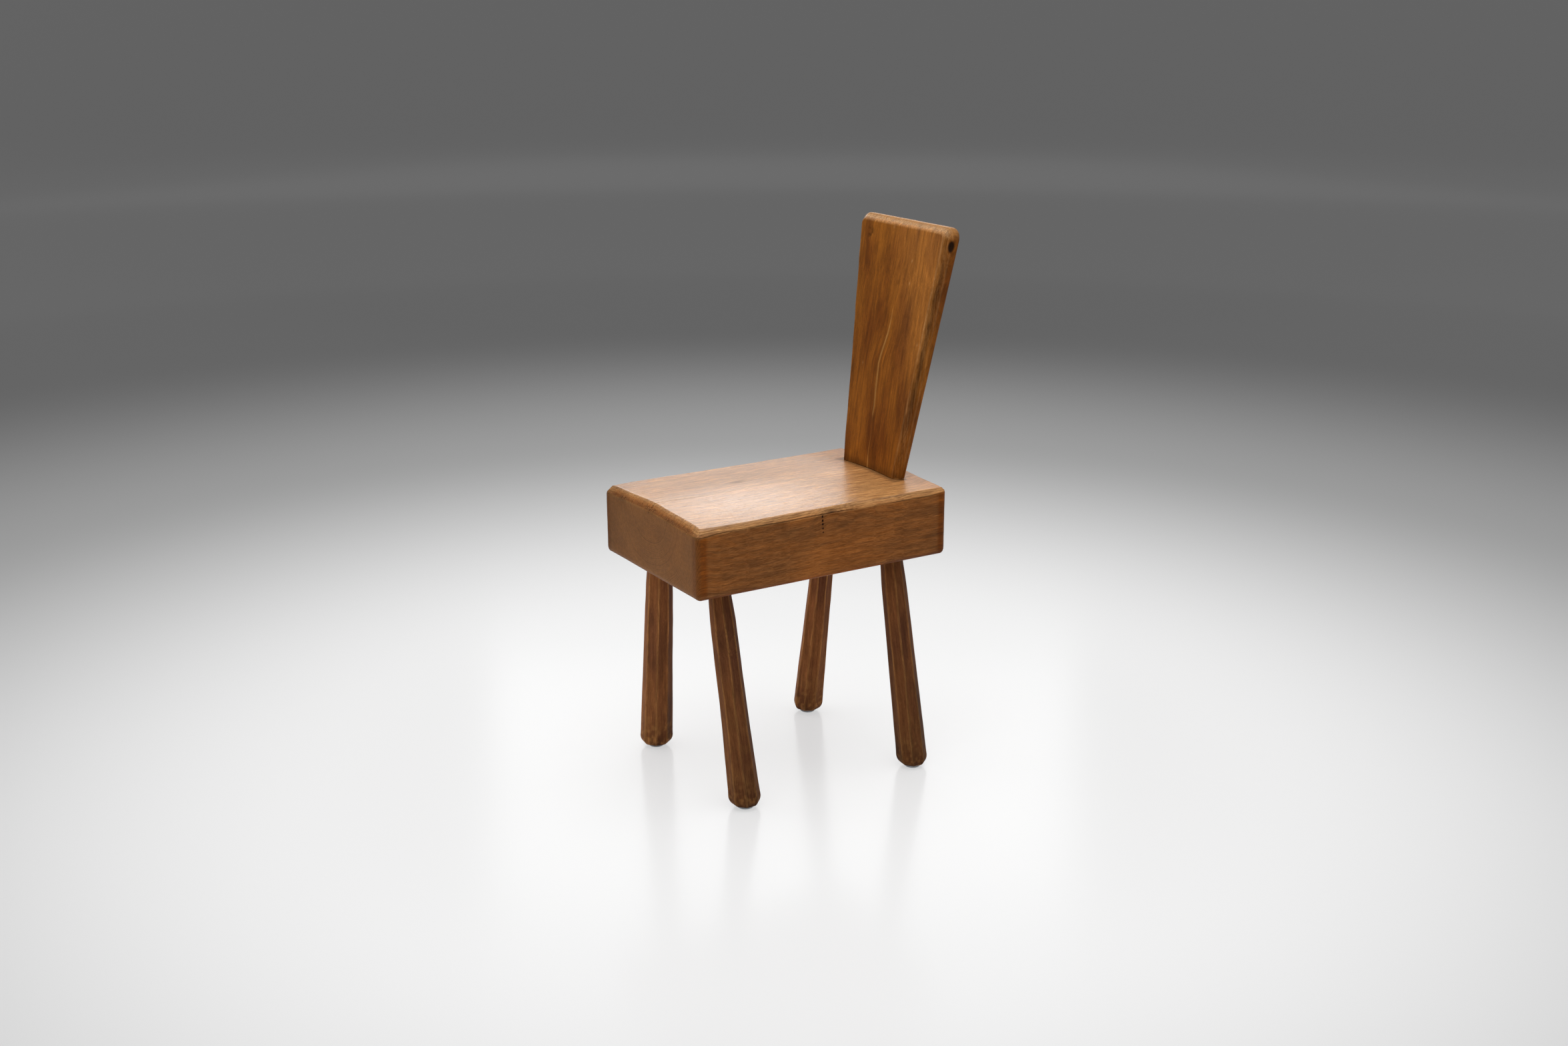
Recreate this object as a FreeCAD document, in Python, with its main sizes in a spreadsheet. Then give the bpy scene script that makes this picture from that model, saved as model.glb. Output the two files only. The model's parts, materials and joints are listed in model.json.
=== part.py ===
import FreeCAD, Part
import os
import Sketcher
from math import cos, radians, sin

# A block-seat chair, in millimetres. +Z is up, the floor is Z = 0 and the origin lies on it, under the
# middle of the chair's whole length and width. The sitter faces -Y, so the backrest stands at +Y and the
# sitter's left is +X. Each piece is drawn about the middle of the seat, and its placement then moves it
# forwards by half of what the backrest's top overhangs the seat.

# Driving sizes: plain millimetres, degrees where the name says angle, fractions where it says share.
SIZES = {
    # the seat, one balk of timber that lies lengthwise under the sitter
    "seat_width": 295,
    "seat_length": 442,
    "seat_thickness": 108,
    "seat_height": 454,
    "seat_ridge": 5.5,
    "seat_corner_radius": 7,
    "seat_top_bevel": 8,
    "seat_bottom_bevel": 4,
    # where the legs enter the seat, measured in from its sides and ends
    "leg_side_inset": 55.5,
    "leg_end_inset": 65.5,
    # how far each foot stands further out than its leg's top, sideways (splay) and lengthwise (rake)
    "front_left_splay": 43,
    "front_left_rake": -18.5,
    "front_right_splay": 52,
    "front_right_rake": -13,
    "rear_left_splay": 54.5,
    "rear_left_rake": 11,
    "rear_right_splay": 43.5,
    "rear_right_rake": -9.5,
    # widths across the flats of each octagonal leg: under the seat, below the neck and at the foot
    "front_left_top": 32.5,
    "front_left_neck": 38,
    "front_left_foot": 48,
    "front_right_top": 36.5,
    "front_right_neck": 41,
    "front_right_foot": 50.5,
    "rear_left_top": 33.5,
    "rear_left_neck": 38.5,
    "rear_left_foot": 47,
    "rear_right_top": 33,
    "rear_right_neck": 36.5,
    "rear_right_foot": 47.5,
    # how each leg is turned about its own axis in its socket
    "front_left_turn_angle": 1,
    "front_right_turn_angle": -8,
    "rear_left_turn_angle": -6,
    "rear_right_turn_angle": 20,
    "leg_corner_share": 0.41,
    "leg_neck_length": 52,
    "foot_chamfer_width": 8,
    "foot_chamfer_rise": 15,
    # round tenons on the legs, in blind sockets
    "leg_tenon_radius": 13,
    "leg_tenon_length": 62,
    "leg_tenon_root": 6,
    "joint_clearance": 0.15,
    "socket_end_gap": 1,
    # foxtail wedges, which spread a tenon as it is driven against the bottom of its socket
    "wedge_length": 30,
    "wedge_butt": 4.5,
    "wedge_tip": 1.2,
    "wedge_clearance": 0.05,
    "leg_wedge_width": 23,
    "leg_wedge_stand": 0.8,
    # the backrest, a plank that widens upwards and leans back
    "backrest_setback": 49.5,
    "backrest_lean_angle": 9,
    "backrest_length": 395,
    "backrest_foot_width": 158,
    "backrest_top_width": 243,
    "backrest_foot_thickness": 20,
    "backrest_top_thickness": 26,
    "backrest_corner_radius": 20,
    "backrest_front_bevel": 10.5,
    "backrest_rear_round": 5,
    "backrest_shoulder": 2,
    "backrest_seat_gap": 0.3,
    # the stub tenon under the plank, and its two wedges
    "backrest_tenon_width": 138,
    "backrest_tenon_length": 70,
    "backrest_mortise_end_gap": 2,
    "backrest_wedge_spread": 88,
    "backrest_wedge_stand": 0.3,
    # nail-on plastic glides under the feet
    "glide_radius": 12.5,
    "glide_height": 4,
    "glide_round": 1.6,
    "glide_nail_recess": 1.2,
    "nail_radius": 1.1,
    "nail_head_radius": 3.2,
    "nail_head_thickness": 1,
    "nail_length": 19,
    "nail_point_length": 3,
    "nail_clearance": 0.1,
    # how far a cut starts outside the wood that it enters
    "cut_overrun": 2,
}

# An edge runs along a direction if at least this share of its length does: within about 8 degrees.
PARALLEL_SHARE = 0.99

# The middle of a piece's thickness, as a share.
MIDDLE_SHARE = 0.5

# The least volume, in cubic millimetres, that a cut has to take away.
LEAST_CUT = 1

LEGS = {
    "front_left": (1, -1),
    "front_right": (-1, -1),
    "rear_left": (1, 1),
    "rear_right": (-1, 1),
}

doc = FreeCAD.newDocument("BlockSeatChair")
sheet = doc.addObject("Spreadsheet::Sheet", "sizes")
for row, (alias, value) in enumerate(SIZES.items(), 1):
    sheet.set(f"A{row}", alias)
    sheet.set(f"B{row}", str(value))
    sheet.setAlias(f"B{row}", alias)
doc.recompute()

# Heights and places that several pieces share, as expressions of the driving sizes.
UNDERSIDE = "(sizes.seat_height - sizes.seat_thickness)"
SEAT_SIDE = "(sizes.seat_width / 2)"
SEAT_END = "(sizes.seat_length / 2)"
SHOULDER = "(sizes.seat_height + sizes.seat_ridge + sizes.backrest_seat_gap)"
LEAN = "(sizes.backrest_lean_angle * 1 deg)"
SOLE = "sizes.glide_height"
TENON_THICKNESS = "(sizes.backrest_foot_thickness - 2 * sizes.backrest_shoulder)"

# The plank's front face at the shoulder, its top front edge, and its top rear edge.
PLANK_FRONT = f"({SEAT_END} - sizes.backrest_setback)"
PLANK_TOP_Y = f"({PLANK_FRONT} + sizes.backrest_length * sin({LEAN}))"
PLANK_TOP_Z = f"({SHOULDER} + sizes.backrest_length * cos({LEAN}))"
PLANK_REAR_Y = f"({PLANK_TOP_Y} + sizes.backrest_top_thickness * cos({LEAN}))"
PLANK_REAR_Z = f"({PLANK_TOP_Z} - sizes.backrest_top_thickness * sin({LEAN}))"

# Where the seat's middle lies, so that the origin is midway between the seat's front and the plank's rear.
SEAT_MIDDLE_Y = f"(({SEAT_END} - {PLANK_REAR_Y}) / 2)"


def number(expression):
    """The present value of an expression of the sizes."""
    return float(sheet.evalExpression(expression))


def new_body(name):
    """An empty sub-part with its own name."""
    body = doc.addObject("PartDesign::Body", name)
    body.Label = name
    body.setExpression("Placement.Base.y", SEAT_MIDDLE_Y)
    return body


def attach(body, feature, role, offset=None):
    """Lays a feature on one of its own body's origin planes, moved by a placement expression."""
    plane = next(item for item in body.Origin.OriginFeatures if item.Role == role)
    feature.AttachmentSupport = [(plane, "")]
    feature.MapMode = "FlatFace"
    if offset:
        feature.setExpression("AttachmentOffset", offset)


def bind_point(sketch, geometry, end, corner):
    """Ties one point of a sketch to a pair of expressions, or to an axis where one of them is zero."""
    for kind, axis, expression in (("DistanceX", -2, corner[0]), ("DistanceY", -1, corner[1])):
        if expression == "0":
            sketch.addConstraint(Sketcher.Constraint("PointOnObject", geometry, end, axis))
            continue
        label = f"{kind}_{geometry}_{end}"
        value = number(expression)
        index = sketch.addConstraint(Sketcher.Constraint(kind, -1, 1, geometry, end, value))
        sketch.renameConstraint(index, label)
        sketch.setExpression(f"Constraints.{label}", expression)


def outline(body, name, role, corners, offset=None):
    """A closed outline of straight lines through corners that follow the sizes."""
    sketch = body.newObject("Sketcher::SketchObject", name)
    attach(body, sketch, role, offset)
    points = [FreeCAD.Vector(number(across), number(up), 0) for across, up in corners]
    for index, start in enumerate(points):
        sketch.addGeometry(Part.LineSegment(start, points[(index + 1) % len(points)]))
    for index, corner in enumerate(corners):
        previous = (index - 1) % len(corners)
        sketch.addConstraint(Sketcher.Constraint("Coincident", previous, 2, index, 1))
        bind_point(sketch, index, 1, corner)
    return sketch


def extrude(body, kind, name, sketch, length, symmetric=False):
    """A Pad or a Pocket of a sketch, to one side or evenly to both."""
    feature = body.newObject(f"PartDesign::{kind}", name)
    feature.Profile = sketch
    feature.setExpression("Length", length)
    if symmetric:
        feature.SideType = "Symmetric"
    return feature


def loft(body, kind, name, sketches):
    """A ruled loft through sketches, added or taken away."""
    feature = body.newObject(f"PartDesign::{kind}Loft", name)
    feature.Profile = sketches[0]
    feature.Sections = sketches[1:]
    feature.Ruled = True
    return feature


def cylinder(body, kind, name, radius, height, offset):
    """A round tenon or bore along the axis that a placement expression gives."""
    feature = body.newObject(f"PartDesign::{kind}Cylinder", name)
    attach(body, feature, "XY_Plane", offset)
    feature.setExpression("Radius", radius)
    feature.setExpression("Height", height)
    return feature


def revolve(body, name, profile):
    """A full turn of a sketch about the upright axis."""
    feature = body.newObject("PartDesign::Revolution", name)
    feature.Profile = profile
    feature.ReferenceAxis = (profile, ["V_Axis"])
    feature.Angle = 360
    return feature


def edges_where(body, test):
    """The names of the body's edges that pass a test."""
    doc.recompute()
    edges = body.Tip.Shape.Edges
    return [f"Edge{index}" for index, edge in enumerate(edges, 1) if test(edge)]


def dress(body, kind, name, edges, size_name, expression):
    """A Fillet or Chamfer along edges of the body as it stands."""
    base = body.Tip
    feature = body.newObject(f"PartDesign::{kind}", name)
    feature.Base = (base, edges)
    feature.setExpression(size_name, expression)
    return feature


def lies_along(edge, direction):
    """Whether a straight edge runs nearly along a direction."""
    if edge.Curve.TypeId != "Part::GeomLine":
        return False
    return abs(edge.Curve.Direction.dot(direction)) > PARALLEL_SHARE


def face_edges(body, direction):
    """The names of the edges round the face that lies furthest in a direction."""
    doc.recompute()
    shape = body.Tip.Shape
    furthest = max(shape.Faces, key=lambda face: face.CenterOfMass.dot(direction))
    return edges_where(body, lambda edge: any(edge.isSame(other) for other in furthest.Edges))


def rectangle(half_x, half_y):
    """The corners of a rectangle about the sketch's origin."""
    left, front = f"-{half_x}", f"-{half_y}"
    return [(left, front), (half_x, front), (half_x, half_y), (left, half_y)]


def leg_line(leg):
    """Where a leg's axis enters the seat, and how far its foot stands out from there, as expressions."""
    side, end = LEGS[leg]
    top_x = f"({side} * ({SEAT_SIDE} - sizes.leg_side_inset))"
    top_y = f"({end} * ({SEAT_END} - sizes.leg_end_inset))"
    out_x = f"({side} * sizes.{leg}_splay)"
    out_y = f"({end} * sizes.{leg}_rake)"
    return top_x, top_y, out_x, out_y


def leg_point(leg, height):
    """The expressions of the point of a leg's axis at a height."""
    top_x, top_y, out_x, out_y = leg_line(leg)
    drop = f"(({UNDERSIDE} - {height}) / {UNDERSIDE})"
    return f"({top_x} + {out_x} * {drop})", f"({top_y} + {out_y} * {drop})"


def along_leg(leg, distance):
    """A placement expression on a leg's axis, at a distance above the seat's underside."""
    top_x, top_y, out_x, out_y = leg_line(leg)
    run = f"sqrt({out_x}^2 + {out_y}^2)"
    slant = f"sqrt({out_x}^2 + {out_y}^2 + {UNDERSIDE}^2)"
    share = f"({distance} / {slant})"
    place_x = f"{top_x} - {out_x} * {share}"
    place_y = f"{top_y} - {out_y} * {share}"
    place = f"vector({place_x}; {place_y}; {UNDERSIDE} + {UNDERSIDE} * {share})"
    return f"placement({place}; rotation(vector({out_y}; -{out_x}; 0); atan({run} / {UNDERSIDE})))"


def tenon_face(share):
    """Where a share of the backrest's tenon's thickness meets the shoulder's level."""
    front = f"{PLANK_FRONT} + sizes.backrest_shoulder / cos({LEAN})"
    return f"({front} + {share} * {TENON_THICKNESS} / cos({LEAN}))"


def along_backrest(across, distance):
    """A placement expression in the middle of the backrest's tenon, leaning with the plank."""
    place_y = f"{tenon_face(MIDDLE_SHARE)} - {distance} * sin({LEAN})"
    place = f"vector({across}; {place_y}; {SHOULDER} - {distance} * cos({LEAN}))"
    return f"placement({place}; rotation(vector(1; 0; 0); -{LEAN}))"


def tenon_outline(gap, depth, rise):
    """The backrest's tenon, or its mortise, seen from the side: both follow the plank's lean."""
    corners = []
    for share, side, levels in ((0, -1, (f"-{depth}", rise)), (1, 1, (rise, f"-{depth}"))):
        face = f"({tenon_face(share)} + {side} * {gap} / cos({LEAN}))"
        for level in levels:
            corners.append((f"({face} + {level} * tan({LEAN}))", f"({SHOULDER} + {level})"))
    return corners


def wedge_loft(body, kind, name, section, places):
    """A wedge, or the kerf that it spreads, between its thin tip and its thick butt."""
    sketches = []
    for label, place in zip(("tip", "butt"), places):
        corners = section(f"sizes.wedge_{label}")
        sketches.append(outline(body, f"{name}_{label}", "XY_Plane", corners, place))
    return loft(body, kind, name, sketches)


def leg_wedge_places(leg):
    """Tip in the leg's tenon, butt standing out of its end, against the bottom of the socket."""
    butt = "(sizes.leg_tenon_length + sizes.leg_wedge_stand)"
    return [along_leg(leg, f"({butt} - sizes.wedge_length)"), along_leg(leg, butt)]


def backrest_wedge_places(side):
    """Tip up in the plank's tenon, butt standing out of its lower end."""
    across = f"({side} * sizes.backrest_wedge_spread / 2)"
    butt = f"(sizes.backrest_tenon_length / cos({LEAN}) + sizes.backrest_wedge_stand)"
    return [along_backrest(across, f"({butt} - sizes.wedge_length)"), along_backrest(across, butt)]


def leg_wedge_section(half_width, gap="0"):
    """A leg's wedge is thick along the seat's grain, so that it doesn't split the seat."""
    return lambda thickness: rectangle(half_width, f"({thickness} / 2 + {gap})")


def backrest_wedge_section(half_width, gap="0"):
    """The backrest's wedges spread its wide tenon sideways."""
    return lambda thickness: rectangle(f"({thickness} / 2 + {gap})", half_width)


def octagon(flats):
    """The corners of a leg's octagonal section, from its width across the flats."""
    half = f"({flats} / 2)"
    corner = f"({half} * sizes.leg_corner_share)"
    signs = [(1, -1), (1, 1), (-1, 1), (-1, -1)]
    corners = []
    for index, (across, along) in enumerate(signs):
        wide = (f"({across} * {half})", f"({along} * {corner})")
        narrow = (f"({across} * {corner})", f"({along} * {half})")
        corners += [narrow, wide] if index % 2 == 0 else [wide, narrow]
    return corners


def make_seat():
    """The balk: ridged top, bevelled edges, rounded corners, leg sockets and the backrest's mortise."""
    body = new_body("seat_block")
    bevel_top = "(sizes.seat_height - sizes.seat_top_bevel)"
    bevel_bottom = f"({UNDERSIDE} + sizes.seat_bottom_bevel)"
    top_half = f"({SEAT_SIDE} - sizes.seat_top_bevel)"
    bottom_half = f"({SEAT_SIDE} - sizes.seat_bottom_bevel)"
    corners = [
        ("0", "(sizes.seat_height + sizes.seat_ridge)"),
        (f"-{top_half}", "sizes.seat_height"),
        (f"-{SEAT_SIDE}", bevel_top),
        (f"-{SEAT_SIDE}", bevel_bottom),
        (f"-{bottom_half}", UNDERSIDE),
        (bottom_half, UNDERSIDE),
        (SEAT_SIDE, bevel_bottom),
        (SEAT_SIDE, bevel_top),
        (top_half, "sizes.seat_height"),
    ]
    section = outline(body, "seat_section", "XZ_Plane", corners)
    extrude(body, "Pad", "seat_balk", section, "sizes.seat_length", symmetric=True)
    dress_seat(body)

    mortise_depth = "(sizes.backrest_tenon_length + sizes.backrest_mortise_end_gap)"
    mortise_rise = "(sizes.seat_ridge + sizes.cut_overrun)"
    corners = tenon_outline("sizes.joint_clearance", mortise_depth, mortise_rise)
    side_view = outline(body, "mortise_side", "YZ_Plane", corners)
    mortise_width = "sizes.backrest_tenon_width + 2 * sizes.joint_clearance"
    extrude(body, "Pocket", "backrest_mortise", side_view, mortise_width, symmetric=True)
    for leg in LEGS:
        cylinder(
            body,
            "Subtractive",
            f"{leg}_socket",
            "sizes.leg_tenon_radius + sizes.joint_clearance",
            "sizes.leg_tenon_length + sizes.socket_end_gap + sizes.leg_tenon_root",
            along_leg(leg, "(0 - sizes.leg_tenon_root)"),
        )


def dress_seat(body):
    """The bevels across the balk's ends, which meet the ones along its sides, and its rounded corners."""
    across = FreeCAD.Vector(1, 0, 0)
    upright = FreeCAD.Vector(0, 0, 1)
    end_level = number(SEAT_END) - number("sizes.cut_overrun")
    top_level = number("sizes.seat_height") - number("sizes.cut_overrun")
    bottom_level = number(UNDERSIDE) + number("sizes.cut_overrun")
    top_ends = edges_where(
        body, lambda edge: edge.BoundBox.ZMin > top_level and abs(edge.CenterOfMass.y) > end_level
    )
    dress(body, "Chamfer", "seat_top_ends", top_ends, "Size", "sizes.seat_top_bevel")
    bottom_ends = edges_where(
        body, lambda edge: edge.BoundBox.ZMax < bottom_level and lies_along(edge, across)
    )
    dress(body, "Chamfer", "seat_bottom_ends", bottom_ends, "Size", "sizes.seat_bottom_bevel")
    upright_edges = edges_where(body, lambda edge: lies_along(edge, upright))
    dress(body, "Fillet", "seat_corners", upright_edges, "Radius", "sizes.seat_corner_radius")


def make_leg(leg):
    """A planed octagonal leg with a chamfered foot, a neck, and a round tenon kerfed for its wedge."""
    body = new_body(f"leg_{leg}")
    foot = f"sizes.{leg}_foot"
    stations = [
        ("sole", SOLE, f"({foot} - 2 * sizes.foot_chamfer_width)"),
        ("foot", f"({SOLE} + sizes.foot_chamfer_rise)", foot),
        ("neck", f"({UNDERSIDE} - sizes.leg_neck_length)", f"sizes.{leg}_neck"),
        ("top", UNDERSIDE, f"sizes.{leg}_top"),
    ]
    sketches = []
    for label, height, flats in stations:
        place_x, place_y = leg_point(leg, height)
        turn = f"rotation(vector(0; 0; 1); sizes.{leg}_turn_angle * 1 deg)"
        place = f"placement(vector({place_x}; {place_y}; {height}); {turn})"
        sketches.append(outline(body, f"{leg}_{label}", "XY_Plane", octagon(flats), place))
    loft(body, "Additive", f"{leg}_shaft", sketches)
    cylinder(
        body,
        "Additive",
        f"{leg}_tenon",
        "sizes.leg_tenon_radius",
        "sizes.leg_tenon_length + sizes.leg_tenon_root",
        along_leg(leg, "(0 - sizes.leg_tenon_root)"),
    )
    section = leg_wedge_section("(sizes.leg_tenon_radius + sizes.cut_overrun)", "sizes.wedge_clearance")
    wedge_loft(body, "Subtractive", f"{leg}_kerf", section, leg_wedge_places(leg))
    sole_x, sole_y = leg_point(leg, SOLE)
    hole_start = f"vector({sole_x}; {sole_y}; {SOLE} - sizes.cut_overrun)"
    cylinder(
        body,
        "Subtractive",
        f"{leg}_nail_hole",
        "sizes.nail_radius + sizes.nail_clearance",
        "sizes.nail_length + sizes.cut_overrun",
        f"placement({hole_start}; rotation(vector(0; 0; 1); 0))",
    )


def make_leg_wedge(leg):
    """The hidden wedge that locks a leg in its blind socket."""
    body = new_body(f"wedge_{leg}")
    section = leg_wedge_section("(sizes.leg_wedge_width / 2)")
    wedge_loft(body, "Additive", f"{leg}_wedge", section, leg_wedge_places(leg))


def make_backrest():
    """The plank: side view first, then its tapering sides, dressed edges, scribed foot and tenon."""
    body = new_body("backrest")
    drop = "(sizes.seat_ridge + sizes.cut_overrun)"
    low_front = f"({PLANK_FRONT} - {drop} * tan({LEAN}))"
    low_rear = f"({low_front} + sizes.backrest_foot_thickness / cos({LEAN}))"
    side_view = [
        (low_front, f"({SHOULDER} - {drop})"),
        (low_rear, f"({SHOULDER} - {drop})"),
        (PLANK_REAR_Y, PLANK_REAR_Z),
        (PLANK_TOP_Y, PLANK_TOP_Z),
    ]
    profile = outline(body, "plank_side", "YZ_Plane", side_view)
    blank_width = "sizes.backrest_top_width + 2 * sizes.cut_overrun"
    extrude(body, "Pad", "plank_blank", profile, blank_width, symmetric=True)

    # The sides are sawn square to the plank's front face, so their outline leans with it.
    widening = "(sizes.backrest_top_width - sizes.backrest_foot_width)"
    grow = f"({widening} / 2 / sizes.backrest_length)"
    low = f"({drop} / cos({LEAN}) + sizes.cut_overrun)"
    high = "(sizes.backrest_length + sizes.cut_overrun)"
    low_half = f"(sizes.backrest_foot_width / 2 - {grow} * {low})"
    high_half = f"(sizes.backrest_foot_width / 2 + {grow} * {high})"
    outside = "(sizes.backrest_top_width / 2 + 3 * sizes.cut_overrun)"
    on_front = f"placement(vector(0; {SHOULDER}; -{PLANK_FRONT}); rotation(vector(1; 0; 0); -{LEAN}))"
    through = "2 * sizes.backrest_foot_thickness + 2 * sizes.backrest_top_thickness"
    for label, side in (("left", "1"), ("right", "-1")):
        waste = [
            (f"({side} * {low_half})", f"-{low}"),
            (f"({side} * {outside})", f"-{low}"),
            (f"({side} * {outside})", high),
            (f"({side} * {high_half})", high),
        ]
        cut = outline(body, f"taper_{label}", "XZ_Plane", waste, on_front)
        extrude(body, "Pocket", f"plank_taper_{label}", cut, through, symmetric=True)

    dress_backrest(body, number(PLANK_TOP_Z) - number("sizes.backrest_top_thickness"))

    seat_half = f"({SEAT_SIDE} - sizes.seat_top_bevel)"
    seat_level = "(sizes.seat_height + sizes.backrest_seat_gap)"
    waste_level = f"({SHOULDER} - {drop} - sizes.cut_overrun)"
    scribed = [
        ("0", SHOULDER),
        (f"-{seat_half}", seat_level),
        (f"-{seat_half}", waste_level),
        (seat_half, waste_level),
        (seat_half, seat_level),
    ]
    cut = outline(body, "scribed_shoulder", "XZ_Plane", scribed)
    extrude(body, "Pocket", "plank_shoulder", cut, "2 * sizes.seat_length", symmetric=True)

    corners = tenon_outline("0", "sizes.backrest_tenon_length", "sizes.cut_overrun")
    tenon = outline(body, "tenon_side", "YZ_Plane", corners)
    extrude(body, "Pad", "plank_tenon", tenon, "sizes.backrest_tenon_width", symmetric=True)
    half_thickness = f"({TENON_THICKNESS} / 2 + sizes.cut_overrun)"
    section = backrest_wedge_section(half_thickness, "sizes.wedge_clearance")
    for label, side in (("left", 1), ("right", -1)):
        wedge_loft(body, "Subtractive", f"backrest_kerf_{label}", section, backrest_wedge_places(side))


def rim_above(body, edges, level):
    """The edges of a rim that reach above a level: the plank isn't dressed along its foot."""
    low_edges = edges_where(body, lambda edge: edge.BoundBox.ZMax < level)
    return [edge for edge in edges if edge not in low_edges]


def dress_backrest(body, top_level):
    """Rounded top corners, a wide bevel round the plank's front and a small round behind."""
    lean = radians(number("sizes.backrest_lean_angle"))
    rearward = FreeCAD.Vector(0, cos(lean), -sin(lean))
    corner_edges = edges_where(
        body, lambda edge: lies_along(edge, rearward) and edge.CenterOfMass.z > top_level
    )
    dress(body, "Fillet", "plank_corners", corner_edges, "Radius", "sizes.backrest_corner_radius")
    shoulder_level = number(SHOULDER)
    front_rim = rim_above(body, face_edges(body, -rearward), shoulder_level)
    dress(body, "Chamfer", "plank_front_bevel", front_rim, "Size", "sizes.backrest_front_bevel")
    rear_rim = rim_above(body, face_edges(body, rearward), shoulder_level)
    dress(body, "Fillet", "plank_rear_round", rear_rim, "Radius", "sizes.backrest_rear_round")


def make_backrest_wedge(label, side):
    """A hidden wedge that locks the backrest's stub tenon in its mortise."""
    body = new_body(f"wedge_backrest_{label}")
    section = backrest_wedge_section(f"({TENON_THICKNESS} / 2)")
    wedge_loft(body, "Additive", f"backrest_wedge_{label}", section, backrest_wedge_places(side))


def make_glide(leg):
    """A nail-on plastic disc under one foot, with a recess for the nail's head."""
    body = new_body(f"glide_{leg}")
    hole = "(sizes.nail_radius + sizes.nail_clearance)"
    recess = "(sizes.nail_head_radius + sizes.nail_clearance)"
    recess_top = "(sizes.glide_nail_recess + sizes.nail_head_thickness)"
    corners = [
        (recess, "0"),
        ("sizes.glide_radius", "0"),
        ("sizes.glide_radius", SOLE),
        (hole, SOLE),
        (hole, recess_top),
        (recess, recess_top),
    ]
    revolve(body, f"{leg}_disc", outline(body, f"{leg}_disc_section", "XZ_Plane", corners))
    recess_level = number("sizes.glide_nail_recess")
    between = number("sizes.glide_radius") + number(recess)
    rim = edges_where(
        body, lambda edge: edge.BoundBox.ZMax < recess_level and edge.BoundBox.YLength > between
    )
    dress(body, "Fillet", f"{leg}_disc_round", rim, "Radius", "sizes.glide_round")
    stand_under(body, leg)


def make_nail(leg):
    """The flat-headed nail that holds a glide, driven up into the foot's end grain."""
    body = new_body(f"nail_{leg}")
    head_top = "(sizes.glide_nail_recess + sizes.nail_head_thickness)"
    tip = f"({SOLE} + sizes.nail_length)"
    corners = [
        ("0", "sizes.glide_nail_recess"),
        ("sizes.nail_head_radius", "sizes.glide_nail_recess"),
        ("sizes.nail_head_radius", head_top),
        ("sizes.nail_radius", head_top),
        ("sizes.nail_radius", f"({tip} - sizes.nail_point_length)"),
        ("0", tip),
    ]
    revolve(body, f"{leg}_nail", outline(body, f"{leg}_nail_section", "XZ_Plane", corners))
    stand_under(body, leg)


def stand_under(body, leg):
    """Moves a piece that was made about the upright axis to the middle of a leg's sole."""
    place_x, place_y = leg_point(leg, SOLE)
    body.setExpression("Placement.Base.x", place_x)
    body.setExpression("Placement.Base.y", f"{place_y} + {SEAT_MIDDLE_Y}")


make_seat()
make_backrest()
for label, side in (("left", 1), ("right", -1)):
    make_backrest_wedge(label, side)
for leg in LEGS:
    make_leg(leg)
    make_leg_wedge(leg)
    make_glide(leg)
    make_nail(leg)
doc.recompute()

failed = [item.Name for item in doc.Objects if {"Invalid", "Error"} & set(item.State)]
if failed:
    raise RuntimeError(f"these features failed: {failed}")
bodies = [item for item in doc.Objects if item.TypeId == "PartDesign::Body"]
for body in bodies:
    if body.Shape.isNull() or not body.Shape.isValid():
        raise RuntimeError(f"{body.Label} has no valid shape")
    if len(body.Shape.Solids) != 1:
        raise RuntimeError(f"{body.Label} has {len(body.Shape.Solids)} solids")

# Every cut has to take wood away.
for item in doc.Objects:
    if item.TypeId.startswith(("PartDesign::Subtractive", "PartDesign::Pocket")):
        if item.BaseFeature.Shape.Volume - item.Shape.Volume < LEAST_CUT:
            raise RuntimeError(f"{item.Name} cuts nothing")

os.makedirs("parts", exist_ok=True)
for body in bodies:
    body.Shape.exportStep(f"parts/{body.Label}.step")
    box = body.Shape.BoundBox
    extent = f"{box.XLength:.1f} x {box.YLength:.1f} x {box.ZLength:.1f} mm"
    print(f"{body.Label}: {extent}, {body.Shape.Volume:.0f} mm3")
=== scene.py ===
# %% [markdown]
# A block-seat chair in waxed wood
#
# The real chair is carpentry: a balk of timber as thick as a hand is wide, four planed octagonal legs and one
# plank. Nothing is painted or covered, so the looks are all in the wood: how the rings, the heart and the
# fibres run through each piece, and where years of use have rubbed it pale or left it dirty.
#
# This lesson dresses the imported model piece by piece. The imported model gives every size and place, and
# Blender adds what a drawing leaves out: soft arrises, planing marks, a drying check, frayed edges, and solid
# wood whose grain runs through the whole piece.

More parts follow.
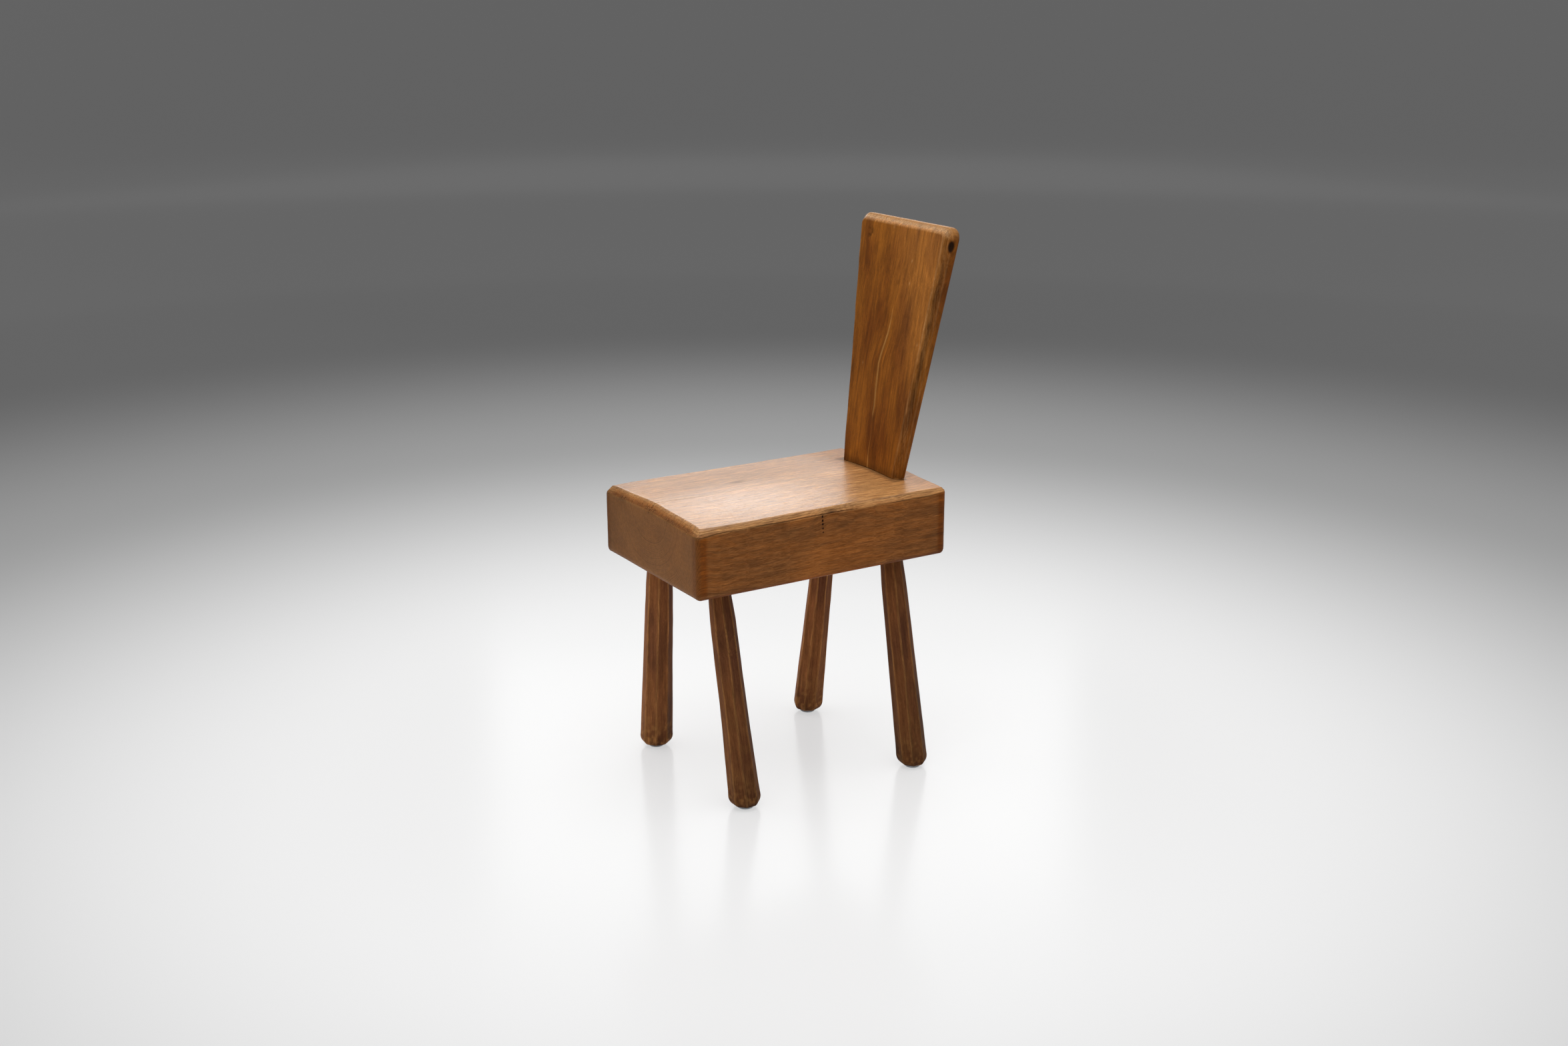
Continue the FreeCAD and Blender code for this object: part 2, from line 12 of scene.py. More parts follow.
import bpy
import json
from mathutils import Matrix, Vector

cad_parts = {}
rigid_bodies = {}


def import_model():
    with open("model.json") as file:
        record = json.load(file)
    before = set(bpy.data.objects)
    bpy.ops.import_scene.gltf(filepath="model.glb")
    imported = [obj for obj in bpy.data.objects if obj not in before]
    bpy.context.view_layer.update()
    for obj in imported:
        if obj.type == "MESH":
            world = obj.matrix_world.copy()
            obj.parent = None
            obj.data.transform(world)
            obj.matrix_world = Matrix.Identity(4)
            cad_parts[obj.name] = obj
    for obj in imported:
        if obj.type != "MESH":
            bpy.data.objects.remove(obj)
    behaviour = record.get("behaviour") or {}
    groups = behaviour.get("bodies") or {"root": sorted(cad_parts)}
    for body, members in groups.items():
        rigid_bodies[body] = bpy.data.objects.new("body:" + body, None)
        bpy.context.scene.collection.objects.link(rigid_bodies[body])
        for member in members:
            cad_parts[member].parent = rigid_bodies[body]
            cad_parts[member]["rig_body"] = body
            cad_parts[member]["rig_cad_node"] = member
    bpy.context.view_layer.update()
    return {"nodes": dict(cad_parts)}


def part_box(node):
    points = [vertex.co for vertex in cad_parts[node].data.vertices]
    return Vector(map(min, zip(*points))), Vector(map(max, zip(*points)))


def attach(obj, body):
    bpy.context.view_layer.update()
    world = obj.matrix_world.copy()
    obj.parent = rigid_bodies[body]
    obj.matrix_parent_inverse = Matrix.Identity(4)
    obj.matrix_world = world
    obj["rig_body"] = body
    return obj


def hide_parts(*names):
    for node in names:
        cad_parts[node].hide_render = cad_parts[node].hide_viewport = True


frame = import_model()
print("nodes:", sorted(frame["nodes"]))

# %% [markdown]
# Everything is worked out in millimetres, as a maker measures, and turned into Blender's metres only when a
# mesh is made. The arrays are numpy's, because a surface with tens of thousands of points is shaped in one
# step that way, where a loop over points would take minutes.

# %% Tools and units
import json
from functools import partial
from math import cos, pi, radians, sin, sqrt

import bmesh
import bpy
import numpy as np
from mathutils import Euler, Matrix, Vector

MM = 0.001
UPRIGHT = np.array([0, 0, 1.0])


def box_of(node):
    """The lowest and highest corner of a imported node, in millimetres."""
    return [np.array(corner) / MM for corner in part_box(node)]


seat_low, seat_high = box_of("seat_block")
back_low, back_high = box_of("backrest")
print("seat:", (seat_high - seat_low).round(1), "backrest:", (back_high - back_low).round(1))

# %% [markdown]
# Wood worked by hand is never quite flat or straight. The unevenness could come from a displacement
# modifier, but then its size and place are hard to steer. A small noise of our own, with one smooth bump per
# cell of a given size in millimetres, can be stretched along the grain and added up wherever it is needed.
# The seed fixes the bumps, so the chair is the same chair on every run.

# %% Smooth seeded noise
NOISE_PERIOD = 48
TINY = 1e-9


def soft_noise(points, cell, seed):
    """Smooth noise from -1 to 1 at each point, with one bump per cell (millimetres along each axis)."""
    lattice = np.random.default_rng(seed).uniform(-1, 1, (NOISE_PERIOD,) * 3)
    place = np.asarray(points, float) / cell
    base = np.floor(place).astype(int)
    share = place - base
    share = share * share * (3 - 2 * share)
    value = np.zeros(len(place))
    for corner in np.ndindex(2, 2, 2):
        index = (base + corner) % NOISE_PERIOD
        weight = np.where(corner, share, 1 - share).prod(axis=1)
        value += weight * lattice[tuple(index.T)]
    return value


def line_noise(along, cell, seed):
    """Smooth noise from -1 to 1 along one line."""
    along = np.ravel(along)
    blank = np.zeros_like(along)
    return soft_noise(np.stack([along, blank, blank], 1), (cell, 1, 1), seed)


def hollows(points, rows):
    """The depth taken off in hollows of several sizes: each row is a cell, a mean depth and a seed."""
    return sum(depth * (1 + soft_noise(points, cell, seed)) for cell, depth, seed in rows)


def ease(value, start, end):
    """0 before start, 1 after end, and a smooth step between them."""
    share = np.clip((value - start) / (end - start), 0, 1)
    return share * share * (3 - 2 * share)


def bump(distance, radius):
    """1 at no distance, falling smoothly to 0 at the radius."""
    return np.clip(1 - (distance / radius) ** 2, 0, 1) ** 2


def far_from(place, points, stretch):
    """How far each point is from a place, with each axis divided by its stretch."""
    return np.linalg.norm((points - place) / stretch, axis=1)


def oval(across, along, place, size):
    """1 in the middle of an oval patch on a face, falling smoothly to 0 at its rim."""
    return bump(np.hypot((across - place[0]) / size[0], (along - place[1]) / size[1]), 1)


sample = line_noise(np.arange(200.0), 20, 1)
print("noise along 200 mm runs from", sample.min().round(2), "to", sample.max().round(2))

# %% [markdown]
# The balk and the plank are blocks, so they start as the skin of a block of grid lines. The lines are a few
# millimetres apart on the plain faces and close together where an edge, a crack or a knot needs them. The
# same points could come from a subdivided cube, but even subdivision spends most of its points where nothing
# happens.

# %% Blocks made of grid lines
def grid_lines(low, high, step, *bands):
    """Lines from low to high about a step apart, closer in each (start, end, fine step) band."""
    lines, position = [], low
    for start, end, fine in sorted(bands) + [(high, high, step)]:
        for first, last, width in ((position, start, step), (start, end, fine)):
            if last > first:
                count = max(1, round((last - first) / width))
                lines.extend(np.linspace(first, last, count, endpoint=False))
        position = end
    return np.array(lines + [high])


def block_skin(*axes):
    """The points and the outward quads of the outer skin of a block of grid lines."""
    shape = [len(lines) for lines in axes]
    index = np.indices(shape)
    outer = np.zeros(shape, bool)
    for axis, count in enumerate(shape):
        outer |= (index[axis] == 0) | (index[axis] == count - 1)
    number = np.full(shape, -1)
    number[outer] = np.arange(outer.sum())
    points = np.stack([lines[index[axis][outer]] for axis, lines in enumerate(axes)], 1)
    quads = []
    for axis in range(len(shape)):
        for end in (0, -1):
            layer = np.take(number, end, axis)
            ring = [layer[:-1, :-1], layer[1:, :-1], layer[1:, 1:], layer[:-1, 1:]]
            ring = np.stack(ring, -1).reshape(-1, 4)
            faces_out = (end == -1) != (axis == 1)
            quads.append(ring if faces_out else ring[:, ::-1])
    return points, np.concatenate(quads)


cube_lines = grid_lines(0, 30, 10)
cube_points, cube_quads = block_skin(cube_lines, cube_lines, cube_lines)
print("a cube of 3 by 3 by 3 cells:", len(cube_points), "points,", len(cube_quads), "quads")

# %% [markdown]
# Three small helpers shape such a skin. One finds the way out of the surface at each point, one turns a
# square corner round, and one says how far a point goes back behind a plane that cuts it off. Moving points
# keeps the grid lines where they are needed, where a bevel modifier would add its own.

# %% Round corners and cut off edges
def outward(points, quads):
    """The direction out of the surface at each point, averaged over its quads."""
    corners = points[quads]
    facing = np.cross(corners[:, 2] - corners[:, 0], corners[:, 3] - corners[:, 1])
    total = np.zeros_like(points)
    for column in quads.T:
        np.add.at(total, column, facing)
    return total / np.linalg.norm(total, axis=1, keepdims=True)


def round_corner(first, second, radius):
    """Turns the square corner between two edges round, given the distances inside both of them."""
    lacks = np.stack([np.maximum(radius - first, 0), np.maximum(radius - second, 0)])
    reach = np.maximum(np.linalg.norm(lacks, axis=0), TINY)
    shrink = np.where(lacks.min(axis=0) > 0, lacks.max(axis=0) / reach, 1)
    return first + lacks[0] * (1 - shrink), second + lacks[1] * (1 - shrink)


def trim(excess, softness):
    """How far a point moves back to lie under a plane that it passes by excess, with a rounded start."""
    rounded = (excess + softness) ** 2 / (4 * softness)
    return np.where(excess > softness, excess, np.where(excess > -softness, rounded, 0))


print("directions out of the cube's skin:", outward(cube_points, cube_quads).shape)
print("a point on a plane with a softness of 2 mm goes back", trim(0.0, 2.0), "mm")

# %% [markdown]
# A mesh becomes a piece of the chair once it rides on a body and has its finish, and the imported node that it
# stands for is hidden. Fields such as wear are stored on the mesh's points, where the material can read them:
# a pattern that follows the real edge keeps following it in any view.

# %% Turn points into pieces of the chair
SHARP_ANGLE = radians(48)
PLAIN_FIELDS = {"worn": 0, "grime": 0, "end_grain": 0, "torn": 0, "polish": 0, "shade": 1, "warmth": 0.5}


def new_mesh(name, points, faces):
    """An object in the frame's own metres, from points in millimetres."""
    mesh = bpy.data.meshes.new(name)
    mesh.from_pydata((np.asarray(points) * MM).tolist(), [], [list(face) for face in faces])
    mesh.validate()
    piece = bpy.data.objects.new(name, mesh)
    bpy.context.scene.collection.objects.link(piece)
    return piece


def points_of(piece):
    """The piece's points, in millimetres."""
    flat = np.zeros(len(piece.data.vertices) * 3, np.float32)
    piece.data.vertices.foreach_get("co", flat)
    return flat.reshape(-1, 3).astype(float) / MM


def store(piece, grain, **fields):
    """Keeps each point's place in the tree, and every field: one that isn't given stays plain."""
    attribute = piece.data.attributes.new("grain", "FLOAT_VECTOR", "POINT")
    attribute.data.foreach_set("vector", np.ascontiguousarray(grain, np.float32).ravel())
    for name, plain in PLAIN_FIELDS.items():
        values = np.clip(fields.get(name, plain), 0, 2) * np.ones(len(grain))
        attribute = piece.data.attributes.new(name, "FLOAT", "POINT")
        attribute.data.foreach_set("value", values.astype(np.float32))


def shade_smooth(piece):
    """Smooth shading, broken only where two faces meet at a real corner."""
    mesh = bmesh.new()
    mesh.from_mesh(piece.data)
    for face in mesh.faces:
        face.smooth = True
    for edge in mesh.edges:
        edge.smooth = not edge.is_manifold or edge.calc_face_angle() < SHARP_ANGLE
    mesh.to_mesh(piece.data)
    mesh.free()


def belongs(piece, node, finish):
    """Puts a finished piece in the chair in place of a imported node."""
    shade_smooth(piece)
    piece.data.materials.clear()
    piece.data.materials.append(finish)
    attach(piece, "root")
    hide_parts(node)
    print(f"{piece.name}: {len(piece.data.vertices)} points, {len(piece.data.polygons)} faces")


# %% [markdown]
# Sockets, mortises and kerfs are cut the way the maker cuts them: a tool takes wood away. Blender's boolean
# modifier does that with a second mesh as the tool. It comes after the surface is worn down and before the
# fields are worked out, so that they are measured on the final points.

# %% Cut and join with tools
def apply_tool(piece, tool, operation="DIFFERENCE"):
    """Cuts a tool's shape out of a piece, or joins it on, and takes the tool away."""
    modifier = piece.modifiers.new("tool", "BOOLEAN")
    modifier.operation = operation
    modifier.solver = "MANIFOLD"
    modifier.object = tool
    bpy.context.view_layer.update()
    shaped = piece.evaluated_get(bpy.context.evaluated_depsgraph_get())
    mesh = bpy.data.meshes.new_from_object(shaped)
    piece.modifiers.clear()
    piece.data = mesh
    bpy.data.objects.remove(tool)


def evenly_round(sides):
    """The angles of points spaced evenly round a circle."""
    return np.arange(sides) * 2 * pi / sides


def ring_round(centre, axis, radii, angles):
    """Points round an axis at the given angles from +X, one for each radius."""
    axis = axis / np.linalg.norm(axis)
    first = np.array([1.0, 0, 0]) - axis * axis[0]
    first /= np.linalg.norm(first)
    second = np.cross(axis, first)
    return centre + radii[:, None] * (np.cos(angles)[:, None] * first + np.sin(angles)[:, None] * second)


def loft(rings):
    """A closed skin through rings of points, each anticlockwise seen from the last one."""
    count, sides, _ = rings.shape
    number = np.arange(count * sides).reshape(count, sides)
    beside = np.roll(number, -1, axis=1)
    quads = np.stack([number[:-1], beside[:-1], beside[1:], number[1:]], -1).reshape(-1, 4)
    caps = [number[0][::-1].tolist(), number[-1].tolist()]
    return rings.reshape(-1, 3), quads.tolist() + caps


def rod(start, end, radius, sides=48):
    """A round bar between two points, as a drill leaves it."""
    radii = np.full(sides, radius)
    rings = [ring_round(place, end - start, radii, evenly_round(sides)) for place in (start, end)]
    return new_mesh("rod", *loft(np.array(rings)))


hexagons = [ring_round(UPRIGHT * level, UPRIGHT, np.ones(6), evenly_round(6)) for level in (0, 10)]
bar_points, bar_faces = loft(np.array(hexagons))
print("a six-sided bar:", len(bar_points), "points,", len(bar_faces), "faces")

# %% [markdown]
# Wood is coloured in the solid. If the pattern is made in three dimensions and the surface just cuts through
# it, an end shows rings and a side shows long flames, with no seams to hide. Each piece stores for every
# point its place in the tree, in millimetres: across, along and across from the heart. Bending that field
# round a knot bends the grain, as it does in the tree.
#
# Materials are built from nodes. One small function adds a node, sets its options and fills its inputs, so a
# recipe reads from top to bottom.

# %% One function adds a node
def linear(hex_colour):
    """An sRGB colour such as #8a5a2b as the linear colour that a shader takes."""
    values = [int(hex_colour[start : start + 2], 16) / 255 for start in (1, 3, 5)]
    curve = [value / 12.92 if value <= 0.04045 else ((value + 0.055) / 1.055) ** 2.4 for value in values]
    return (*curve, 1.0)


def add(tree, kind, inputs=(), **options):
    """Adds a node with its options, and fills its inputs in order, or by name from a dict.

    An input takes a value, a socket, or a node, which stands for its first output.
    """
    node = tree.nodes.new(kind)
    for name, value in options.items():
        setattr(node, name, value)
    sockets = [socket for socket in node.inputs if socket.enabled]
    if isinstance(inputs, dict):
        sockets = [next(socket for socket in sockets if socket.name == name) for name in inputs]
        inputs = inputs.values()
    for socket, value in zip(sockets, inputs):
        if isinstance(value, bpy.types.Node):
            value = next(output for output in value.outputs if output.enabled)
        if isinstance(value, bpy.types.NodeSocket):
            tree.links.new(value, socket)
        else:
            socket.default_value = value
    return node


def new_material(name):
    """A material with an empty node tree."""
    material = bpy.data.materials.new(name)
    material.use_nodes = True
    material.node_tree.nodes.clear()
    return material, material.node_tree


print("the grey #808080 in linear light:", round(linear("#808080")[0], 3))

# %% [markdown]
# The recipe for the wood goes from large to small: slow changes of tone, then the yearly rings round the
# heart, then fibres and pores stretched along the grain. Real rings in this balk are 2 to 2.5 mm apart, a
# fibre bundle is under a millimetre wide and a few centimetres long, and an open pore shows as a dash about
# half a millimetre wide. Pores are drawn a little coarser than that, so that a render can show them.
#
# Rings that were perfect circles would look turned. Two noises push the place about before its distance from
# the heart is taken, and the push fades towards the heart, so that the heart stays where it was stored.

# %% Rings round the heart
RING_BEND_SIZE = (1 / 60, 1 / 300, 1 / 60)
RING_WAVER_SIZE = (1 / 8, 1 / 70, 1 / 8)
CALM_RADIUS = 40.0
CALM_LEAST = 0.05
YEAR_DRIFT = 2.4
YEAR_DRIFT_SCALE = 0.31
LATE_GROWTH = 2.2
YEAR_END = 0.88
FLAT = (1, 0, 1)
SMOOTH = {"interpolation_type": "SMOOTHSTEP"}
TIMES = {"operation": "MULTIPLY"}
TIMES_PLUS = {"operation": "MULTIPLY_ADD"}


def growth_rings(tree, place, look):
    """How dark the yearly ring is at each place, from 0 in pale early wood to 1, and the distance out."""
    node = partial(add, tree)
    across = node("ShaderNodeVectorMath", (place, FLAT), **TIMES)
    out = node("ShaderNodeVectorMath", (across,), operation="LENGTH").outputs["Value"]
    calm = node("ShaderNodeMapRange", (out, 0.0, CALM_RADIUS, CALM_LEAST, 1.0))
    bent = place
    for size, reach in ((RING_BEND_SIZE, look["bend"]), (RING_WAVER_SIZE, look["waver"])):
        scaled = node("ShaderNodeVectorMath", (place, size), **TIMES)
        push = node("ShaderNodeTexNoise", (scaled, 1.0, 2.0)).outputs["Color"]
        push = node("ShaderNodeVectorMath", (push, (0.5, 0.5, 0.5)), operation="SUBTRACT")
        reach = node("ShaderNodeMath", (calm, 2 * reach), **TIMES)
        push = node("ShaderNodeVectorMath", {"Vector": push, "Scale": reach}, operation="SCALE")
        bent = node("ShaderNodeVectorMath", (bent, push), operation="ADD")
    across = node("ShaderNodeVectorMath", (bent, FLAT), **TIMES)
    radius = node("ShaderNodeVectorMath", (across,), operation="LENGTH").outputs["Value"]
    years = node("ShaderNodeMath", (radius, look["ring"]), operation="DIVIDE")
    uneven = node("ShaderNodeTexNoise", (years, YEAR_DRIFT_SCALE, 1.0), noise_dimensions="1D")
    years = node("ShaderNodeMath", (uneven, YEAR_DRIFT, years), **TIMES_PLUS)
    season = node("ShaderNodeMath", (years,), operation="FRACT")
    late = node("ShaderNodeMath", (season, LATE_GROWTH), operation="POWER")
    early = node("ShaderNodeMapRange", (season, YEAR_END, 1.0, 1.0, 0.0), **SMOOTH)
    return node("ShaderNodeMath", (late, early), **TIMES), radius


# %% [markdown]
# The finish on the real chair is wax over stained wood, rubbed thin by use. Under wax the wood itself hardly
# shines. Where hands and clothes have polished it, a clear coat lies on top and throws the light back at a
# low angle, as along the seat, so the shine is a coat whose weight is stored on the points. Waxed wood has an
# IOR near 1.45 and a roughness between 0.3 and 0.6. Arrises are pale where the stain has gone, torn edges
# show dark gaps between pale fibres, and the cracks and the feet are dark with dirt.

# %% The wood's patterns
FIGURE = (
    # name, millimetres across the grain, millimetres along it, detail
    ("tone", 42, 150, 3.0),
    ("streak", 4.5, 110, 3.0),
    ("mottle", 8, 34, 3.0),
    ("fibre", 1.0, 22, 3.0),
    ("fleck", 1.3, 8, 2.0),
    ("pore", 1.1, 6, 1.0),
    ("tuft", 1.5, 30, 2.0),
)
PATTERN_LIGHT = (
    # name, where its step starts and ends, how light it is below and above
    ("streak", 0.3, 0.7, 0.83, 1.17),
    ("mottle", 0.3, 0.7, 0.9, 1.1),
    ("fibre", 0.32, 0.68, 0.86, 1.14),
    ("fleck", 0.58, 0.68, 0.98, 1.18),
    ("pore", 0.6, 0.68, 1.0, 0.82),
)
END_CALM = 0.5


def wood_figure(tree, place):
    """A noise for each pattern of the wood, stretched along the grain to its real size."""
    figure = {}
    for pattern, across, along, detail in FIGURE:
        size = (1 / across, 1 / along, 1 / across)
        scaled = add(tree, "ShaderNodeVectorMath", (place, size), **TIMES)
        figure[pattern] = add(tree, "ShaderNodeTexNoise", (scaled, 1.0, detail))
    return figure


def pattern_light(tree, figure, field):
    """How light all the patterns together leave the wood: an end shows less of them than a side."""
    node = partial(add, tree)
    light = 1.0
    for pattern, *step in PATTERN_LIGHT:
        own_light = node("ShaderNodeMapRange", (figure[pattern], *step), **SMOOTH)
        light = node("ShaderNodeMath", (own_light, light), **TIMES)
    calm = node("ShaderNodeMath", (field["end_grain"], END_CALM), **TIMES)
    to_plain = node("ShaderNodeMath", (1.0, light), operation="SUBTRACT")
    light = node("ShaderNodeMath", (to_plain, calm, light), **TIMES_PLUS)
    return node("ShaderNodeMath", (light, field["shade"]), **TIMES)


print("patterns of the wood:", ", ".join(row[0] for row in FIGURE))

# %% [markdown]
# The colours lie over each other as they came about: stained wood, the pale heart, the cooler ends, the dark
# late wood of each ring, and then what is rubbed off, torn and dirty. Each layer is a mix whose share comes
# from a stored field or a pattern, so that another piece of wood needs nothing but other colours.

# %% Colour of the wood
BLEND = {"data_type": "RGBA"}
WARM_STEP = (0.82, 1.18)
HEART_CORE = 0.4
HEART_PALENESS = 0.8
END_STAIN = 0.8
FRAYED = (0.3, 0.62, 0.45, 1.0)
RING_PULL = -0.22
TUFT_STEP = (0.4, 0.52)
TUFT_PALENESS = 0.45
GAP_DARKNESS = 0.6


def torn_fibres(tree, rings, figure, torn):
    """Where a torn face shows tufts of fibre and, between them, gaps."""
    node = partial(add, tree)
    tuft = node("ShaderNodeMath", (rings, RING_PULL, figure["tuft"]), **TIMES_PLUS)
    tuft = node("ShaderNodeMapRange", (tuft, *TUFT_STEP), **SMOOTH)
    no_tuft = node("ShaderNodeMath", (1.0, tuft), operation="SUBTRACT")
    return tuft, node("ShaderNodeMath", (torn, no_tuft), **TIMES)


def wood_layers(tree, look, rings, radius, figure, field, tuft, gap):
    """Each layer of colour over the deep stain, as its share and its colour."""
    node = partial(add, tree)
    tone = node("ShaderNodeMath", (figure["tone"], field["warmth"]), operation="ADD")
    late = (field["end_grain"], look["end_ring"], look["side_ring"])
    late = node("ShaderNodeMath", late, **TIMES_PLUS)
    frayed = node("ShaderNodeMapRange", (figure["fibre"], *FRAYED), **SMOOTH)
    pale_tuft = node("ShaderNodeMath", (tuft, TUFT_PALENESS), **TIMES)
    near_heart = (radius, look["heart"], HEART_CORE * look["heart"], 0.0, HEART_PALENESS)
    return (
        (node("ShaderNodeMapRange", (tone, *WARM_STEP), **SMOOTH), look["warm"]),
        (node("ShaderNodeMapRange", near_heart, **SMOOTH), look["pale"]),
        (node("ShaderNodeMath", (field["end_grain"], END_STAIN), **TIMES), look["end"]),
        (node("ShaderNodeMath", (rings, late), **TIMES), look["late"]),
        (node("ShaderNodeMath", (field["worn"], frayed), **TIMES), look["worn"]),
        (node("ShaderNodeMath", (field["torn"], pale_tuft), **TIMES), look["worn"]),
        (node("ShaderNodeMath", (gap, GAP_DARKNESS), **TIMES), look["late"]),
    )


# %% [markdown]
# Relief and roughness follow the same patterns as the colour, so that a pore is dark, sunken and dull at
# once. The relief is a bump, because fibres and pores are far finer than the mesh; everything coarser than
# a millimetre is in the mesh itself.

# %% Relief and roughness of the wood
PORE_STEP = (0.6, 0.68)
FIBRE_RELIEF = 0.5
GAP_RELIEF = -1.2
PORE_RELIEF = -0.25
RELIEF_DEPTH = 0.35 * MM
RELIEF_STRENGTH = 0.6
FIBRE_STEP = (0.3, 0.7)
ROUGHNESS_SWING = 0.06
DIRT_ROUGHNESS = 0.3


def wood_relief(tree, look, rings, figure, gap):
    """The relief of the wood, as a direction for the light to meet."""
    node = partial(add, tree)
    height = node("ShaderNodeMath", (rings, look["ring_relief"]), **TIMES)
    height = node("ShaderNodeMath", (figure["fibre"], FIBRE_RELIEF, height), **TIMES_PLUS)
    height = node("ShaderNodeMath", (gap, GAP_RELIEF, height), **TIMES_PLUS)
    pore = node("ShaderNodeMapRange", (figure["pore"], *PORE_STEP), **SMOOTH)
    height = node("ShaderNodeMath", (pore, PORE_RELIEF, height), **TIMES_PLUS)
    return node("ShaderNodeBump", {"Height": height, "Strength": RELIEF_STRENGTH, "Distance": RELIEF_DEPTH})


def wood_roughness(tree, look, figure, grime):
    """How rough the waxed wood is: a little more or less with each fibre, and rougher where it is dirty."""
    node = partial(add, tree)
    least, most = look["roughness"] - ROUGHNESS_SWING, look["roughness"] + ROUGHNESS_SWING
    rough = node("ShaderNodeMapRange", (figure["fibre"], *FIBRE_STEP, least, most), **SMOOTH)
    return node("ShaderNodeMath", (grime, DIRT_ROUGHNESS, rough), **TIMES_PLUS)


# %% [markdown]
# Now the parts come together in one surface. The three woods of the chair differ only in the look that is
# handed in: their colours, the width of their rings, how much those rings bend, and how dull they are.

# %% Waxed wood
WAX_IOR = 1.45
WAX_COAT_ROUGHNESS = 0.27


def waxed_wood(name, look):
    """Solid wood under thin wax, read from the place in the tree that each point stores."""
    material, tree = new_material(name)
    node = partial(add, tree)
    place = node("ShaderNodeAttribute", attribute_name="grain").outputs["Vector"]
    field = {kind: node("ShaderNodeAttribute", attribute_name=kind).outputs["Fac"] for kind in PLAIN_FIELDS}
    figure = wood_figure(tree, place)
    rings, radius = growth_rings(tree, place, look)
    tuft, gap = torn_fibres(tree, rings, figure, field["torn"])

    colour = linear(look["deep"])
    for share, layer in wood_layers(tree, look, rings, radius, figure, field, tuft, gap):
        colour = node("ShaderNodeMix", (share, colour, linear(layer)), **BLEND)
    light = pattern_light(tree, figure, field)
    colour = node("ShaderNodeVectorMath", {"Vector": colour, "Scale": light}, operation="SCALE")
    colour = node("ShaderNodeMix", (field["grime"], colour, linear(look["grime"])), **BLEND)

    relief = wood_relief(tree, look, rings, figure, gap)
    surface = {
        "Base Color": colour,
        "Roughness": wood_roughness(tree, look, figure, field["grime"]),
        "IOR": WAX_IOR,
        "Specular IOR Level": look["gloss"],
        "Coat Weight": field["polish"],
        "Coat Roughness": WAX_COAT_ROUGHNESS,
        "Coat IOR": WAX_IOR,
        "Coat Normal": relief,
        "Normal": relief,
    }
    node("ShaderNodeOutputMaterial", {"Surface": node("ShaderNodeBsdfPrincipled", surface)})
    print(f"{material.name}: {len(tree.nodes)} nodes")
    return material


# %% [markdown]
# The balk is one squared log with the heart of the tree near the middle of its top. Its finish on the real
# chair is a warm mid brown on the sides, cooler on the end grain that drinks more stain, and pale on the seat
# where the sitter has rubbed it.

# %% Finish of the seat
seat_finish = waxed_wood(
    "waxed_heartwood_balk",
    {
        "deep": "#763e10",
        "warm": "#9b5416",
        "pale": "#c29260",
        "late": "#4c280e",
        "end": "#8a582d",
        "worn": "#c08d57",
        "grime": "#1e0f06",
        "ring": 2.3,
        "bend": 5.0,
        "waver": 0.8,
        "heart": 4.0,
        "side_ring": 0.42,
        "end_ring": 0.3,
        "ring_relief": 0.4,
        "roughness": 0.5,
        "gloss": 0.12,
    },
)

# %% [markdown]
# The plank was sawn along the heart of a wider tree, so its face shows long straight streaks either side of
# a crooked pale line, where the saw ran through the heart itself.

# %% Finish of the backrest
backrest_finish = waxed_wood(
    "waxed_heartwood_plank",
    {
        "deep": "#7a4212",
        "warm": "#a8651f",
        "pale": "#c28a48",
        "late": "#54300f",
        "end": "#ad7c46",
        "worn": "#c69864",
        "grime": "#1c0e05",
        "ring": 3.1,
        "bend": 9.0,
        "waver": 1.0,
        "heart": 3.0,
        "side_ring": 0.34,
        "end_ring": 0.1,
        "ring_relief": 0.35,
        "roughness": 0.5,
        "gloss": 0.12,
    },
)

# %% [markdown]
# The legs were split from straight, darker stock and planed to eight flats. They keep more of their stain
# than the seat, because nothing rubs them but shoes.

# %% Finish of the legs
leg_finish = waxed_wood(
    "waxed_dark_leg_stock",
    {
        "deep": "#653d27",
        "warm": "#875430",
        "pale": "#8f6238",
        "late": "#422515",
        "end": "#5b3f2d",
        "worn": "#a3713f",
        "grime": "#2b1d13",
        "ring": 2.8,
        "bend": 6.0,
        "waver": 2.0,
        "heart": 2.0,
        "side_ring": 0.14,
        "end_ring": 0.1,
        "ring_relief": 0.3,
        "roughness": 0.58,
        "gloss": 0.06,
    },
)

# %% [markdown]
# The seat's clean form comes first: a block whose top is a very low ridge, with soft upright corners and a
# bevel all round. The bevel of the front end is wider than those of the long sides, because end grain breaks
# away more under the knees, and that of the rear end is the smallest.

# %% The seat's clean form
SEAT_RIDGE = 5.5
RIDGE_SOFTNESS = 10.0
SEAT_CORNER = 8.0
MITRE = 30.0
SIDE_BEVEL = 7.5
SEAT_FRONT_BEVEL = 11.5
SEAT_REAR_BEVEL = 4.5
BOTTOM_BEVEL = 5.5
TOP_ARRIS = 1.5
BOTTOM_ARRIS = 4.0
FINE = 0.8
COARSE = 3.2


def seat_top(across):
    """The height of the seat's top, which falls gently from a softened ridge to its sides."""
    half = seat_high[0] - SIDE_BEVEL
    fall = np.sqrt(across**2 + RIDGE_SOFTNESS**2) - RIDGE_SOFTNESS
    return seat_high[2] - SEAT_RIDGE * fall / half


edge_fall = seat_high[2] - seat_top(seat_high[0] - SIDE_BEVEL)
print("the seat's top falls", round(edge_fall, 1), "mm from its middle to its side bevels")

# %% [markdown]
# Each bevel is a plane that points may not pass: a point that does is pushed back on to it. Letting the push
# begin a little early rounds the arris, as a plane and years of hands do. For that, every point has to know
# how far it lies inside the seat's rounded outline and which way is out.

